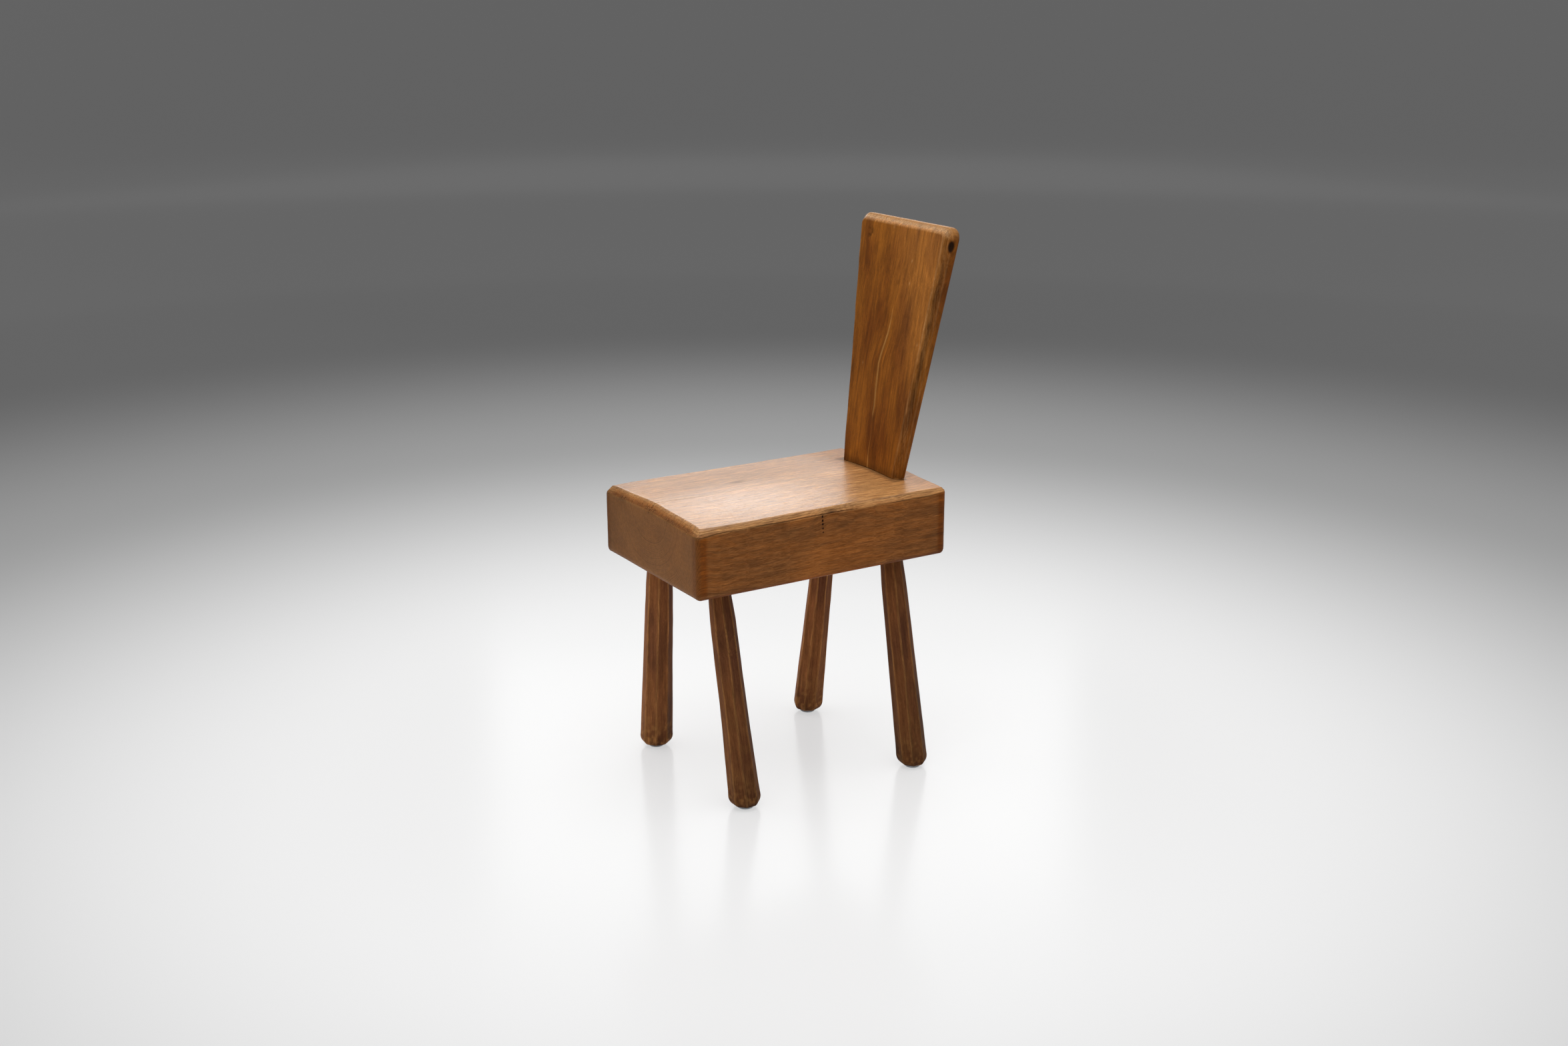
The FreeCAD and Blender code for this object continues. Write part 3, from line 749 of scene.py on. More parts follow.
# %% Bevels as planes
def depth_inside(points, softened=SEAT_CORNER):
    """How far points lie inside the seat's outline seen from above, and which way is out."""
    middle = (seat_low + seat_high)[:2] / 2
    inner = (seat_high - seat_low)[:2] / 2 - softened
    place = points[:, :2] - middle
    over = np.abs(place) - inner
    beyond = np.maximum(over, 0) * np.sign(place)
    reach = np.linalg.norm(beyond, axis=1)
    inside = softened - np.where(reach > 0, reach, over.max(axis=1))
    nearest = np.eye(2)[over.argmax(axis=1)] * np.sign(place)
    way_out = np.where(reach[:, None] > 0, beyond / np.maximum(reach, TINY)[:, None], nearest)
    return inside, way_out


def side_and_end(points):
    """How much each point belongs to a long side and to an end: the two blend round the corners."""
    return np.abs(depth_inside(points, MITRE)[1]).T


def bevel_width(points):
    """How wide the top bevel is near each point."""
    at_end = np.where(points[:, 1] < 0, SEAT_FRONT_BEVEL, SEAT_REAR_BEVEL)
    return SIDE_BEVEL + side_and_end(points)[1] * (at_end - SIDE_BEVEL)


def bevel(points, level, width, upward, softness):
    """Pushes points back behind a bevel of a width, along the rim that is highest or lowest."""
    inside, _ = depth_inside(points)
    _, way_out = depth_inside(points, MITRE)
    excess = ((points[:, 2] - level) * upward - inside + width) / sqrt(2)
    push = trim(excess, softness) / sqrt(2)
    points[:, :2] -= way_out * push[:, None]
    points[:, 2] -= upward * push
    return points


seat_middle = (seat_low + seat_high)[None] / 2
print("the seat's middle lies", depth_inside(seat_middle)[0][0].round(1), "mm inside its outline")

# %% [markdown]
# The drying check runs from the heart on the front bevel, along the middle of the top, to the backrest. It is
# a real groove in the mesh: three grid lines follow its wandering path, two as its lips and one as its
# bottom. A painted line would stay flat when the light comes low across the seat.

# %% The drying check's path
CHECK_ALONG_SHARES = (0.0, 0.124, 0.224, 0.353, 0.647, 0.74, 0.82, 0.9)
CHECK_DRIFT = (-1.6, 0.6, 4.0, 0.6, -4.8, -2.6, 0.7, 2.0)
CHECK_SIZE_SHARES = (0.0, 0.05, 0.2, 0.4, 0.8, 0.88)
CHECK_HALF_WIDTH = (0.8, 0.5, 0.3, 0.22, 0.16, 0.05)
CHECK_DEPTH = (4.5, 4.0, 2.6, 1.6, 1.0, 0.0)
CHECK_SPREAD = 46.0
CHECK_LIP = 1.0


def seat_share(along):
    """A place along the seat as a share of its length, from the front."""
    return (along - seat_low[1]) / (seat_high[1] - seat_low[1])


def check_path(along):
    """Where the check lies across the seat, at a place along it."""
    drift = np.interp(seat_share(along), CHECK_ALONG_SHARES, CHECK_DRIFT)
    return drift + 0.5 * line_noise(along, 9, 31).reshape(np.shape(along))


def check_size(along, sizes):
    """The check's half width or depth at a place along the seat."""
    return np.interp(seat_share(along), CHECK_SIZE_SHARES, sizes)


print("the check is", check_size(seat_low[1], CHECK_DEPTH), "mm deep at the front end")

# %% [markdown]
# A healed branch shows on the long side as a scoop in the bevel, with a column of small dark pits under it.
# Fine grid lines cross there, so that each pit is a real dent. Three more lines are pinched together along
# the check, and then the block's corners are turned round.

# %% Build the seat's skin
BRANCH = np.array([seat_high[0], -8.0, seat_high[2] - 11])
PIT_LEVELS = (443.0, 436.8, 431.2, 424.6, 418.4)
PIT_RADII = (2.5, 2.7, 2.5, 2.1, 1.6)
PIT_PLACE = -27.0
RIM_MARGIN = 3.0
CHECK_BAND = 6.0
PIT_BAND = 5.0
BOTTOM_STEP = 1.1
CHECK_FADE = (60, 12)


def seat_lines():
    """The grid lines of the balk: close together at the rims, the check and the pits."""
    rim = SEAT_FRONT_BEVEL + RIM_MARGIN
    left_rim = (seat_low[0], seat_low[0] + rim, FINE)
    right_rim = (seat_high[0] - rim, seat_high[0], FINE)
    check_band = (-CHECK_BAND, CHECK_BAND, CHECK_LIP)
    xs = grid_lines(seat_low[0], seat_high[0], COARSE, left_rim, check_band, right_rim)
    front_rim = (seat_low[1], seat_low[1] + rim, FINE)
    rear_rim = (seat_high[1] - rim, seat_high[1], FINE)
    pit_band = (PIT_PLACE - PIT_BAND, PIT_PLACE + PIT_BAND, FINE)
    ys = grid_lines(seat_low[1], seat_high[1], COARSE, front_rim, pit_band, rear_rim)
    bottom_rim = (seat_low[2], seat_low[2] + BOTTOM_BEVEL + BOTTOM_ARRIS, BOTTOM_STEP)
    top_rim = (PIT_LEVELS[-1] - 4, seat_high[2], FINE)
    return xs, ys, grid_lines(seat_low[2], seat_high[2], COARSE, bottom_rim, top_rim)


def seat_skin():
    """The balk's points and quads, with round corners, and which points are the check's bottom."""
    points, quads = block_skin(*seat_lines())
    rise = (points[:, 2] - seat_low[2]) / (seat_high[2] - seat_low[2])
    points[:, 2] = seat_low[2] + rise * (seat_top(points[:, 0]) - seat_low[2])

    near = np.abs(points[:, 0])
    pinch = np.where(near <= CHECK_LIP, check_size(points[:, 1], CHECK_HALF_WIDTH) / CHECK_LIP, 1)
    follow = ease(points[:, 2], *(seat_high[2] - level for level in CHECK_FADE))
    follow *= np.clip(1 - near / CHECK_SPREAD, 0, 1)
    moved = points[:, 0] * (pinch - 1) + follow * check_path(points[:, 1])
    points[:, 0] += np.where(follow > 0, moved, 0)

    middle, half = (seat_low + seat_high)[:2] / 2, (seat_high - seat_low)[:2] / 2
    place = points[:, :2] - middle
    rounded = round_corner(*(half - np.abs(place)).T, SEAT_CORNER)
    points[:, :2] = middle + np.sign(place) * (half - np.stack(rounded, 1))
    return points, quads, near < CHECK_LIP / 2


seat_points, seat_quads, check_bottom = seat_skin()
print("seat skin:", len(seat_points), "points")

# %% [markdown]
# Then the wear. All of it is a depth taken off along the direction out of the surface, so the seat never
# grows past its real size: the hollows of the plane, the frayed fibres of the long bevels, the torn lower
# half of the end bevel, the check, the scoop and its pits. Each kind of wear is a small function that says
# how much of it there is at each point, from 0 to 1, because the finish asks for the same places later.

# %% Kinds of wear on the seat
FIBRE_LAYER = 2.9
PIT_SLANT = 0.07
PIT_NARROWNESS = 0.75
PIT_FACE = (4, 2)
LIP_BELOW = 0.8


def fray(points, seed):
    """Layers of loose fibres along a bevel: ridges that run with the edge and wander slowly."""
    sway = 0.9 * line_noise(points[:, 1], 46, seed) + 0.3 * line_noise(points[:, 1], 13, seed + 1)
    layers = 0.5 + 0.5 * np.sin(2 * pi * (points[:, 2] / FIBRE_LAYER + sway))
    return layers * (0.6 + 0.4 * line_noise(points[:, 1], 31, seed + 2))


def bevel_at(points):
    """How much each point lies on a top bevel, how wide that bevel is, and the depth below the top."""
    inside, _ = depth_inside(points)
    width = bevel_width(points)
    below_top = seat_top(points[:, 0]) - points[:, 2]
    return bump(inside - width / 2, width) * bump(below_top - width / 2, width), width, below_top


def loose_lip(points, width, below_top):
    """1 along the split under the side bevel, where a layer of wood has begun to lift."""
    drift = width + LIP_BELOW + 0.9 * line_noise(points[:, 1], 32, 12)
    opened = ease(line_noise(points[:, 1], 55, 13), -0.7, 0.2)
    return side_and_end(points)[0] * bump(below_top - drift, 1.3) * opened


def pits(points, sharp):
    """1 in the pits beside the healed branch, with edges as sharp as asked."""
    total = np.zeros(len(points))
    for level, radius in zip(PIT_LEVELS, PIT_RADII):
        shift = PIT_SLANT * (level - PIT_LEVELS[0])
        spot = np.hypot((points[:, 1] - PIT_PLACE + shift) / PIT_NARROWNESS, points[:, 2] - level)
        total = np.maximum(total, ease(spot, radius, radius * (1 - sharp)))
    return total * ease(points[:, 0], *(seat_high[0] - depth for depth in PIT_FACE))


print("points in the pits:", (pits(seat_points, 0.9) > 0.5).sum())

# %% [markdown]
# Now the depths are added up, each in millimetres. The slow hollows come from the plane's iron and from
# sitting. The other depths are a millimetre or so, matched one by one, and only the check goes deeper.

# %% Wear the seat down
PLANED_HOLLOWS = (
    # cell across, along and up in millimetres, mean depth, seed
    ((46, 90, 46), 0.22, 1),
    ((11, 30, 11), 0.08, 2),
)
SAT_HOLLOWS = (((80, 150, 80), 0.5, 3),)
FRAY_DEPTH = 0.55
TORN_DEPTH = 0.5
LIP_DEPTH = 0.7
SCOOP_DEPTH = 1.6
PIT_DEPTH = 1.3
EYE_DEPTH = 1.5
EYE_INSET = np.array([0, 5.0, -3.0])


def bevelled_seat(points, side, end):
    """The balk with its bevels, whose widths wander as a plane held by hand leaves them."""
    along = points[:, 1]
    wander = 0.8 * line_noise(along, 70, 5) + 0.5 * line_noise(along, 24, 6)
    width = bevel_width(points) + side * wander + 0.8 * end * line_noise(points[:, 0], 40, 4)
    points = bevel(points, seat_top(points[:, 0]), width, 1, TOP_ARRIS)
    return bevel(points, seat_low[2], BOTTOM_BEVEL, -1, BOTTOM_ARRIS)


def seat_wear_depth(points, side, end, bottom_line):
    """How deep all the wear together goes at each point."""
    inside, _ = depth_inside(points)
    on_bevel, width, below_top = bevel_at(points)
    depth = hollows(points, PLANED_HOLLOWS)
    depth += hollows(points, SAT_HOLLOWS) * ease(inside, 6, 30) * (below_top < 1)
    depth += FRAY_DEPTH * side * on_bevel * fray(points, 7)
    torn = soft_noise(points, (2.4, 3, 2.4), 9) + 0.5 * soft_noise(points, (6, 6, 4), 10)
    depth += TORN_DEPTH * end * on_bevel * ease(below_top, 4, 8) * ease(torn, -0.4, 0.5)
    depth += LIP_DEPTH * loose_lip(points, width, below_top)
    depth += SCOOP_DEPTH * bump(far_from(BRANCH, points, (1, 1.6, 0.8)), 12)
    depth += PIT_DEPTH * pits(points, 0.9)
    eye = EYE_INSET + (check_path(seat_low[1]), seat_low[1], seat_high[2])
    depth += EYE_DEPTH * bump(far_from(eye, points, (0.7, 1, 1.3)), 5)
    open_check = bottom_line * ease(points[:, 2], seat_high[2] - 12, seat_high[2] - 8)
    return np.maximum(depth + open_check * check_size(points[:, 1], CHECK_DEPTH), 0)


at_side, at_end = side_and_end(seat_points)
seat_points = bevelled_seat(seat_points, at_side, at_end)
seat_depth = seat_wear_depth(seat_points, at_side, at_end, check_bottom)
seat_points -= outward(seat_points, seat_quads) * seat_depth[:, None]
seat = new_mesh("seat_balk", seat_points, seat_quads.tolist())
print("deepest wear:", round(seat_depth.max(), 2), "mm")

# %% [markdown]
# The legs are splayed, each by its own angle, so nothing about them is a round number. Their axes are read
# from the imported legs: the middle of the eight corners at the sole and at the seat's underside. Sockets bored
# along those axes cannot miss the legs.

# %% Find the legs' axes
LEGS = ("front_left", "front_right", "rear_left", "rear_right")
FLATS = 8
SAME_LEVEL = 0.05


def ring_at(node, level):
    """The eight corners of a leg's section at a level, anticlockwise, and their middle."""
    points = points_of(frame["nodes"][node])
    level_points = np.unique(points[np.abs(points[:, 2] - level) < SAME_LEVEL].round(2), axis=0)
    rough_middle = (level_points.min(axis=0) + level_points.max(axis=0)) / 2
    far = np.argsort(-np.linalg.norm(level_points - rough_middle, axis=1))[:FLATS]
    corners = level_points[far]
    middle = corners.mean(axis=0)
    order = np.argsort(np.arctan2(corners[:, 1] - middle[1], corners[:, 0] - middle[0]))
    return corners[order], middle


def leg_axis(leg):
    """Where a leg's axis crosses the seat's underside, and the direction up along it."""
    node = f"leg_{leg}"
    _, sole = ring_at(node, box_of(node)[0][2])
    _, top = ring_at(node, seat_low[2])
    return top, (top - sole) / np.linalg.norm(top - sole)


for leg in LEGS:
    print(f"leg {leg} stands {np.degrees(np.arccos(leg_axis(leg)[1][2])):.1f} degrees out of upright")

# %% [markdown]
# The joints are blind: the legs' round tenons sit in bored sockets and the plank's flat tenon in a chopped
# mortise, with nothing showing on top. The mortise leans as the plank does.

# %% Bore the sockets and chop the mortise
TENON_RADIUS = 13.0
TENON_LENGTH = 62.0
CLEARANCE = 0.15
SOCKET_GAP = 1.0
OVERRUN = 6.0
LEAN = radians(9)
SETBACK = 49.5
SHOULDER = 2.0
SHOULDER_GAP = 0.3
FOOT_THICKNESS = 20.0
PLANK_TENON_WIDTH = 138.0
PLANK_TENON_LENGTH = 70.0
MORTISE_GAP = 2.0

up_plank = np.array([0, sin(LEAN), cos(LEAN)])
into_plank = np.array([0, cos(LEAN), -sin(LEAN)])
plank_start = np.array([0, seat_high[1] - SETBACK, seat_high[2] + SHOULDER_GAP])


def plank_prism(name, half_width, front, rear, low, high):
    """A block that leans with the plank, between two levels, from its front face to its rear face."""
    section = ((-half_width, front), (half_width, front), (half_width, rear), (-half_width, rear))
    corners = []
    for level in (low, high):
        for across, depth in section:
            start = plank_start + into_plank * depth
            climb = (level - start[2]) / up_plank[2]
            corners.append(start + up_plank * climb + (across, 0, 0))
    sides = [[start, (start + 1) % 4, (start + 1) % 4 + 4, start + 4] for start in range(4)]
    return new_mesh(name, corners, [[3, 2, 1, 0], [4, 5, 6, 7]] + sides)


for leg in LEGS:
    top, up = leg_axis(leg)
    socket_end = top + up * (TENON_LENGTH + SOCKET_GAP)
    apply_tool(seat, rod(top - up * OVERRUN, socket_end, TENON_RADIUS + CLEARANCE))
mortise = plank_prism(
    "mortise",
    PLANK_TENON_WIDTH / 2 + CLEARANCE,
    SHOULDER - CLEARANCE,
    FOOT_THICKNESS - SHOULDER + CLEARANCE,
    plank_start[2] - PLANK_TENON_LENGTH - MORTISE_GAP,
    plank_start[2] + OVERRUN,
)
apply_tool(seat, mortise)
print("seat with sockets:", len(seat.data.polygons), "faces")

# %% [markdown]
# Last come the fields that the finish reads. The first is each point's place in the tree. The heart lies just
# under the top's middle line, where the check has opened, and the grain bends round the healed branch and
# curls near the front corner on the sitter's left.

# %% Where the seat lies in the tree
HEART_DEPTH = 2.5
BRANCH_STRETCH = (1, 1.4, 1)
BRANCH_REACH = 34.0
BRANCH_PUSH = 9.0
CURL_PLACE = np.array([seat_high[0], seat_low[1] + 28, seat_high[2] - 70])
CURL_REACH = 58.0
CURL_PUSH = 6.0


def corner_curl(points, side):
    """1 in the curled grain of the long side, near its front corner."""
    return bump(far_from(CURL_PLACE, points, (1, 1, 1.4)), CURL_REACH) * side


def seat_grain(points, side):
    """Each point's place in the tree: across, along and across from the heart."""
    path = check_path(points[:, 1])
    heart = np.stack([path, np.zeros_like(path), np.full_like(path, seat_high[2] - HEART_DEPTH)], 1)
    grain = points - heart
    grain[:, 2] -= BRANCH_PUSH * bump(far_from(BRANCH, points, BRANCH_STRETCH), BRANCH_REACH)
    grain[:, 2] += CURL_PUSH * corner_curl(points, side) * soft_noise(points, (9, 16, 30), 14)
    return grain


seat_points = points_of(seat)
at_side, at_end = side_and_end(seat_points)
seat_place = seat_grain(seat_points, at_side)
print("the seat's farthest point from the heart:", np.hypot(*seat_place[:, [0, 2]].T).max().round(), "mm")

# %% [markdown]
# Use leaves two marks. Rubbing takes the stain off the top and off every arris, most where the bevels meet
# the faces. Sitting polishes the wax, most on the front half of the top. Both are shares from 0 to 1, and the
# weights of their parts were matched to the photograph.

# %% Where the seat is rubbed and polished
SAT_PLACE = (62, -120)
SAT_SIZE = (135, 210)
ARRIS_REACH = 3.4
MOST_WORN = 0.97


def top_share(points, below_top):
    """1 on the top of the seat, inside its bevels."""
    return ease(below_top, 4, 1.9) * ease(depth_inside(points)[0], 0, 9)


def arris_wear(points):
    """How rubbed the inner arris of each top bevel is, and all the other arrises together."""
    inside, _ = depth_inside(points)
    _, width, below_top = bevel_at(points)
    inner = bump(inside - width, ARRIS_REACH) * bump(below_top, ARRIS_REACH)
    outer = bump(inside, 2.2) * bump(below_top - width, 3)
    upright = bump(inside, 2) * bump(depth_inside(points, 26)[0], 3)
    above_bottom = points[:, 2] - seat_low[2] - BOTTOM_BEVEL
    low = bump(inside, 3) * bump(above_bottom, 5) * (0.4 + line_noise(points[:, 1], 40, 16))
    return inner, 0.35 * outer + 0.25 * upright + 0.2 * np.maximum(low, 0)


def seat_rub(points, side, end):
    """How much stain is rubbed off at each point, with some painted light and shade, and the wax's polish."""
    across, along, _ = points.T
    on_bevel, _, below_top = bevel_at(points)
    on_top = top_share(points, below_top)
    inner_arris, other_arrises = arris_wear(points)
    patch = 0.5 + 0.5 * soft_noise(points, (60, 110, 60), 15)
    toward_back = ease(along, 95, 165)
    # The far half of the top is kept darker, as painted shade, by taking it out of the wear.
    shaded_far_half = ease(across, 10, -60)
    worn = on_top * (0.86 - 0.15 * toward_back - 0.12 * shaded_far_half + 0.14 * patch)
    worn += 0.6 * inner_arris + other_arrises
    # The end bevel is rubbed pale, and towards the sitter's left paler still, as a painted highlight.
    at_end = (0.5 + 0.15 * ease(across, 0, 90)) * end * ease(below_top, 8.5, 4.5)
    worn += on_bevel * (0.95 * side + at_end)
    sat_on = oval(across, along, SAT_PLACE, SAT_SIZE)
    polish = on_top * (0.45 - 0.25 * toward_back + 0.55 * sat_on) + 0.3 * inner_arris + 0.15 * on_bevel
    return np.clip(worn, 0, MOST_WORN), np.clip(polish, 0, 1)


seat_worn, seat_polish = seat_rub(seat_points, at_side, at_end)
print("share of the seat's points that is rubbed through:", (seat_worn > 0.5).mean().round(2))

# %% [markdown]
# Dirt gathers where a cloth can't reach: in the check, under the loose lip, in the pits and the scoop. Along
# the plank's foot the top is darkened too, partly dirt and partly painted shade. Two old stains have soaked
# into the top as well.

# %% Where the seat is dirty
STAIN_PLACE = (-42, -58)
STAIN_SIZE = (11, 34)
FEATHER_PLACE = (84, -4)
FEATHER_SIZE = (5, 10)
FOOT_REACH = 84.0
DIRTY_DEPTH = 16.0


def check_dirt(points, below_top):
    """Dirt in the drying check, darkest where it stands open."""
    along = points[:, 1]
    off_path = np.abs(points[:, 0] - check_path(along))
    open_check = ease(check_size(along, CHECK_DEPTH), 1.2, 2.6)
    dirt = bump(off_path, 0.55) * ease(below_top, 0.9, 2.4) * (below_top < DIRTY_DEPTH)
    return dirt * (0.35 + 0.65 * open_check)


def dirt_and_plank_shade_on_seat(points):
    """How dirty each point of the seat is, with painted shade along the plank's foot."""
    across, along, _ = points.T
    _, width, below_top = bevel_at(points)
    stain = oval(across, along, STAIN_PLACE, STAIN_SIZE) * (0.6 + 0.6 * soft_noise(points, (5, 16, 9), 17))
    feather = oval(across, along, FEATHER_PLACE, FEATHER_SIZE)
    feather *= ease(soft_noise(points, (1.6, 5, 9), 18), 0, 0.6)
    # A band along the plank's foot: partly dirt, partly painted shade where the plank meets the seat.
    dirt_and_shade_at_plank = ease(along, plank_start[1] - 12, plank_start[1] - 2) * (np.abs(across) < FOOT_REACH)
    dirt_and_shade_at_plank *= top_share(points, below_top) * (along < plank_start[1] + FOOT_THICKNESS)
    scoop = bump(far_from(BRANCH, points, BRANCH_STRETCH), 13)
    scoop *= ease(soft_noise(points, (4, 9, 3), 19), -0.4, 0.4)
    dirt = check_dirt(points, below_top) + 0.6 * loose_lip(points, width, below_top)
    dirt += (0.42 * stain + 0.3 * feather) * (below_top < 3)
    dirt += pits(points, 0.45) + 0.45 * dirt_and_shade_at_plank + 0.5 * scoop
    return np.clip(dirt, 0, 1)


seat_grime = dirt_and_plank_shade_on_seat(seat_points)
print("share of the seat's points that is dirty:", (seat_grime > 0.5).mean().round(3))

# %% [markdown]
# The rest is tone. An end drinks more stain than a side and is greyer, the torn half of the end bevel is dark
# between its fibres, and the curl is a little darker than what is round it. The far half of the top is painted
# darker, as painted shade, and a band at the foot of the end bevel is darker, partly torn fibres and partly
# painted shade. The end is also darker towards the sitter's right, and the long sides on their rear half.

# %% The seat's tone, and its finish
def seat_tone(points, side, end):
    """The fields for torn fibres, end grain, shade and warmth."""
    across, along, _ = points.T
    inside, way_out = depth_inside(points)
    on_bevel, _, below_top = bevel_at(points)
    tears = ease(soft_noise(points, (22, 30, 22), 11), -0.5, 0.4)
    torn_end = end * ease(below_top, 5, 8.5) * ease(along, 0, -90)
    # The far half of the top is painted darker, as painted shade.
    shaded_far_half = ease(across, 10, -60) * top_share(points, below_top)
    shade = 1 - 0.1 * shaded_far_half - 0.22 * end * ease(across, -40, -147)
    shade -= 0.12 * corner_curl(points, side) * (0.2 + soft_noise(points, (8, 13, 10), 20))
    shade -= 0.1 * side * (1 - on_bevel) * ease(along, -60, 90) * ease(below_top, 3, 12)
    # A band at the foot of the end bevel is darker: partly torn fibres, partly painted shade.
    shade -= 0.3 * end * bump(below_top - 10.5, 4.5) * (0.4 + 0.6 * tears)
    shade += 0.09 * end * soft_noise(points, (30, 60, 22), 25)
    end_face = np.abs(way_out[:, 1]) * ease(np.abs(inside), 12, 1)
    return {
        "torn": on_bevel * (0.6 * side + torn_end) * (0.35 + 0.65 * tears),
        "end_grain": end_face * (0.5 + 0.5 * ease(below_top, 5, 13)),
        "shade": shade,
        "warmth": 0.5 + 0.3 * end * ease(below_top, 40, 4) - 0.1 * end * ease(across, 100, 145),
    }


tone = seat_tone(seat_points, at_side, at_end)
store(seat, seat_place, worn=seat_worn, polish=seat_polish, grime=seat_grime, **tone)
belongs(seat, "seat_block", seat_finish)

# %% [markdown]
# The plank of the backrest widens upwards and leans back. It is drawn in its own flat terms, across, up and
# into the wood, and then stood up in the chair, because a taper and a lean together are hard to think about
# and easy to do one after the other.

# %% The plank's clean form
PLANK_LENGTH = 395.0
HALF_FOOT = 79.0
HALF_TOP = 121.5
TOP_THICKNESS = 26.0
PLANK_CORNER = 20.0
FRONT_BEVEL = 10.5
REAR_ROUND = 5.0
PLANK_ARRIS = 2.0
PLANK_SLOPE = cos(np.arctan((HALF_TOP - HALF_FOOT) / PLANK_LENGTH))


def half_width(up):
    """Half of the plank's width at a distance up it."""
    return HALF_FOOT + (HALF_TOP - HALF_FOOT) * up / PLANK_LENGTH


def thickness(up):
    """The plank's thickness at a distance up it."""
    return FOOT_THICKNESS + (TOP_THICKNESS - FOOT_THICKNESS) * up / PLANK_LENGTH


def rim_distance(across, up):
    """How far a place on the plank lies inside its side and its top, before the corner is rounded."""
    return (half_width(up) - np.abs(across)) * PLANK_SLOPE, PLANK_LENGTH - up


def inside_rim(across, up):
    """The distance inside the plank's rounded outline, and the way out of it (across, up)."""
    side, top = rim_distance(across, up)
    lacks = np.stack([np.maximum(PLANK_CORNER - side, 0), np.maximum(PLANK_CORNER - top, 0)])
    reach = np.maximum(np.linalg.norm(lacks, axis=0), TINY)
    in_corner = lacks.min(axis=0) > 0
    inside = np.where(in_corner, PLANK_CORNER - reach, np.minimum(side, top))
    way_out = np.where(in_corner, lacks / reach, np.stack([side < top, side >= top]))
    return inside, np.stack([way_out[0] * np.sign(across), way_out[1]], 1)


print("the plank's sides each lean out", round(np.degrees(np.arccos(PLANK_SLOPE)), 1), "degrees")

# %% [markdown]
# The plank's skin is the same kind of block, stretched to the taper. Its foot is cut to the seat's ridge and
# its top corners are turned round. Then the wide bevel in front and the small round behind are pushed in, as
# the seat's bevels were.

# %% Build the plank's skin
PLANK_STEP_SHARE = 0.022
PLANK_RIM_SHARE = 0.87
PLANK_FINE_SHARE = 0.0085
PLANK_UP_STEP = 2.8
PLANK_TOP_BAND = 44.0
PLANK_TOP_STEP = 1.1
PLANK_DEPTH_SHARE = 0.045


def plank_skin():
    """The plank's points in its own terms (across, into, up), and its quads."""
    left_rim = (-1, -PLANK_RIM_SHARE, PLANK_FINE_SHARE)
    right_rim = (PLANK_RIM_SHARE, 1, PLANK_FINE_SHARE)
    shares = grid_lines(-1, 1, PLANK_STEP_SHARE, left_rim, right_rim)
    top_rim = (PLANK_LENGTH - PLANK_TOP_BAND, PLANK_LENGTH, PLANK_TOP_STEP)
    ups = grid_lines(0, PLANK_LENGTH, PLANK_UP_STEP, top_rim)
    depths = grid_lines(0, 1, PLANK_DEPTH_SHARE)
    points, quads = block_skin(shares, depths, ups)
    share, deep, up = points.T
    across = share * half_width(up)
    into = deep * thickness(up)
    fall = SEAT_RIDGE * np.abs(across) / (seat_high[0] - SIDE_BEVEL)
    foot = (into * sin(LEAN) - fall) / cos(LEAN)
    up = up + foot * (1 - up / PLANK_LENGTH) ** 6

    side, top = round_corner(*rim_distance(across, up), PLANK_CORNER)
    up = PLANK_LENGTH - top
    across = np.sign(across) * (half_width(up) - side / PLANK_SLOPE)
    return np.stack([across, into, up], 1), quads


def bevel_plank(points):
    """The wide bevel round the plank's front and the small round behind."""
    inside, way_out = inside_rim(points[:, 0], points[:, 2])
    wander = 1.0 * line_noise(points[:, 2], 60, 41) + 0.6 * line_noise(points[:, 2], 19, 42)
    width = FRONT_BEVEL + np.abs(way_out[:, 0]) * wander
    push = trim((width - inside - points[:, 1]) / sqrt(2), PLANK_ARRIS) / sqrt(2)
    points[:, 0] -= way_out[:, 0] * push
    points[:, 2] -= way_out[:, 1] * push
    points[:, 1] += push

    inside, way_out = inside_rim(points[:, 0], points[:, 2])
    from_rear = thickness(points[:, 2]) - points[:, 1]
    new_inside, new_rear = round_corner(inside, from_rear, REAR_ROUND)
    points[:, 0] -= way_out[:, 0] * (new_inside - inside)
    points[:, 2] -= way_out[:, 1] * (new_inside - inside)
    points[:, 1] -= new_rear - from_rear
    return points


plank_points, plank_quads = plank_skin()
plank_points = bevel_plank(plank_points)
print("plank skin:", len(plank_points), "points")

# %% [markdown]
# The plank is worn like the seat: slow hollows from the plane, fine furrows where softer wood has gone
# between the fibres, frayed side bevels, a crumbled top bevel, and the sunken knot near the upper corner on
# the sitter's left.

# %% Wear the plank down
KNOT = np.array([118.0, 11.0, 366.0])
BURL = np.array([-80.0, 0.0, 366.0])
PLANK_HOLLOWS = (
    # cell across, along and through the grain in millimetres, mean depth, seed
    ((40, 130, 40), 0.2, 21),
    ((6, 120, 9), 0.1, 22),
)
PLANK_FRAY_DEPTH = 0.6
CRUMBLE_DEPTH = 0.6
KNOT_DEPTH = 1.6
KNOT_RING_DEPTH = 0.5


def on_front_bevel(inside, into):
    """1 in the middle of the plank's wide bevel."""
    return bump(inside - FRONT_BEVEL / 2, 7) * bump(into - FRONT_BEVEL / 2, 7)


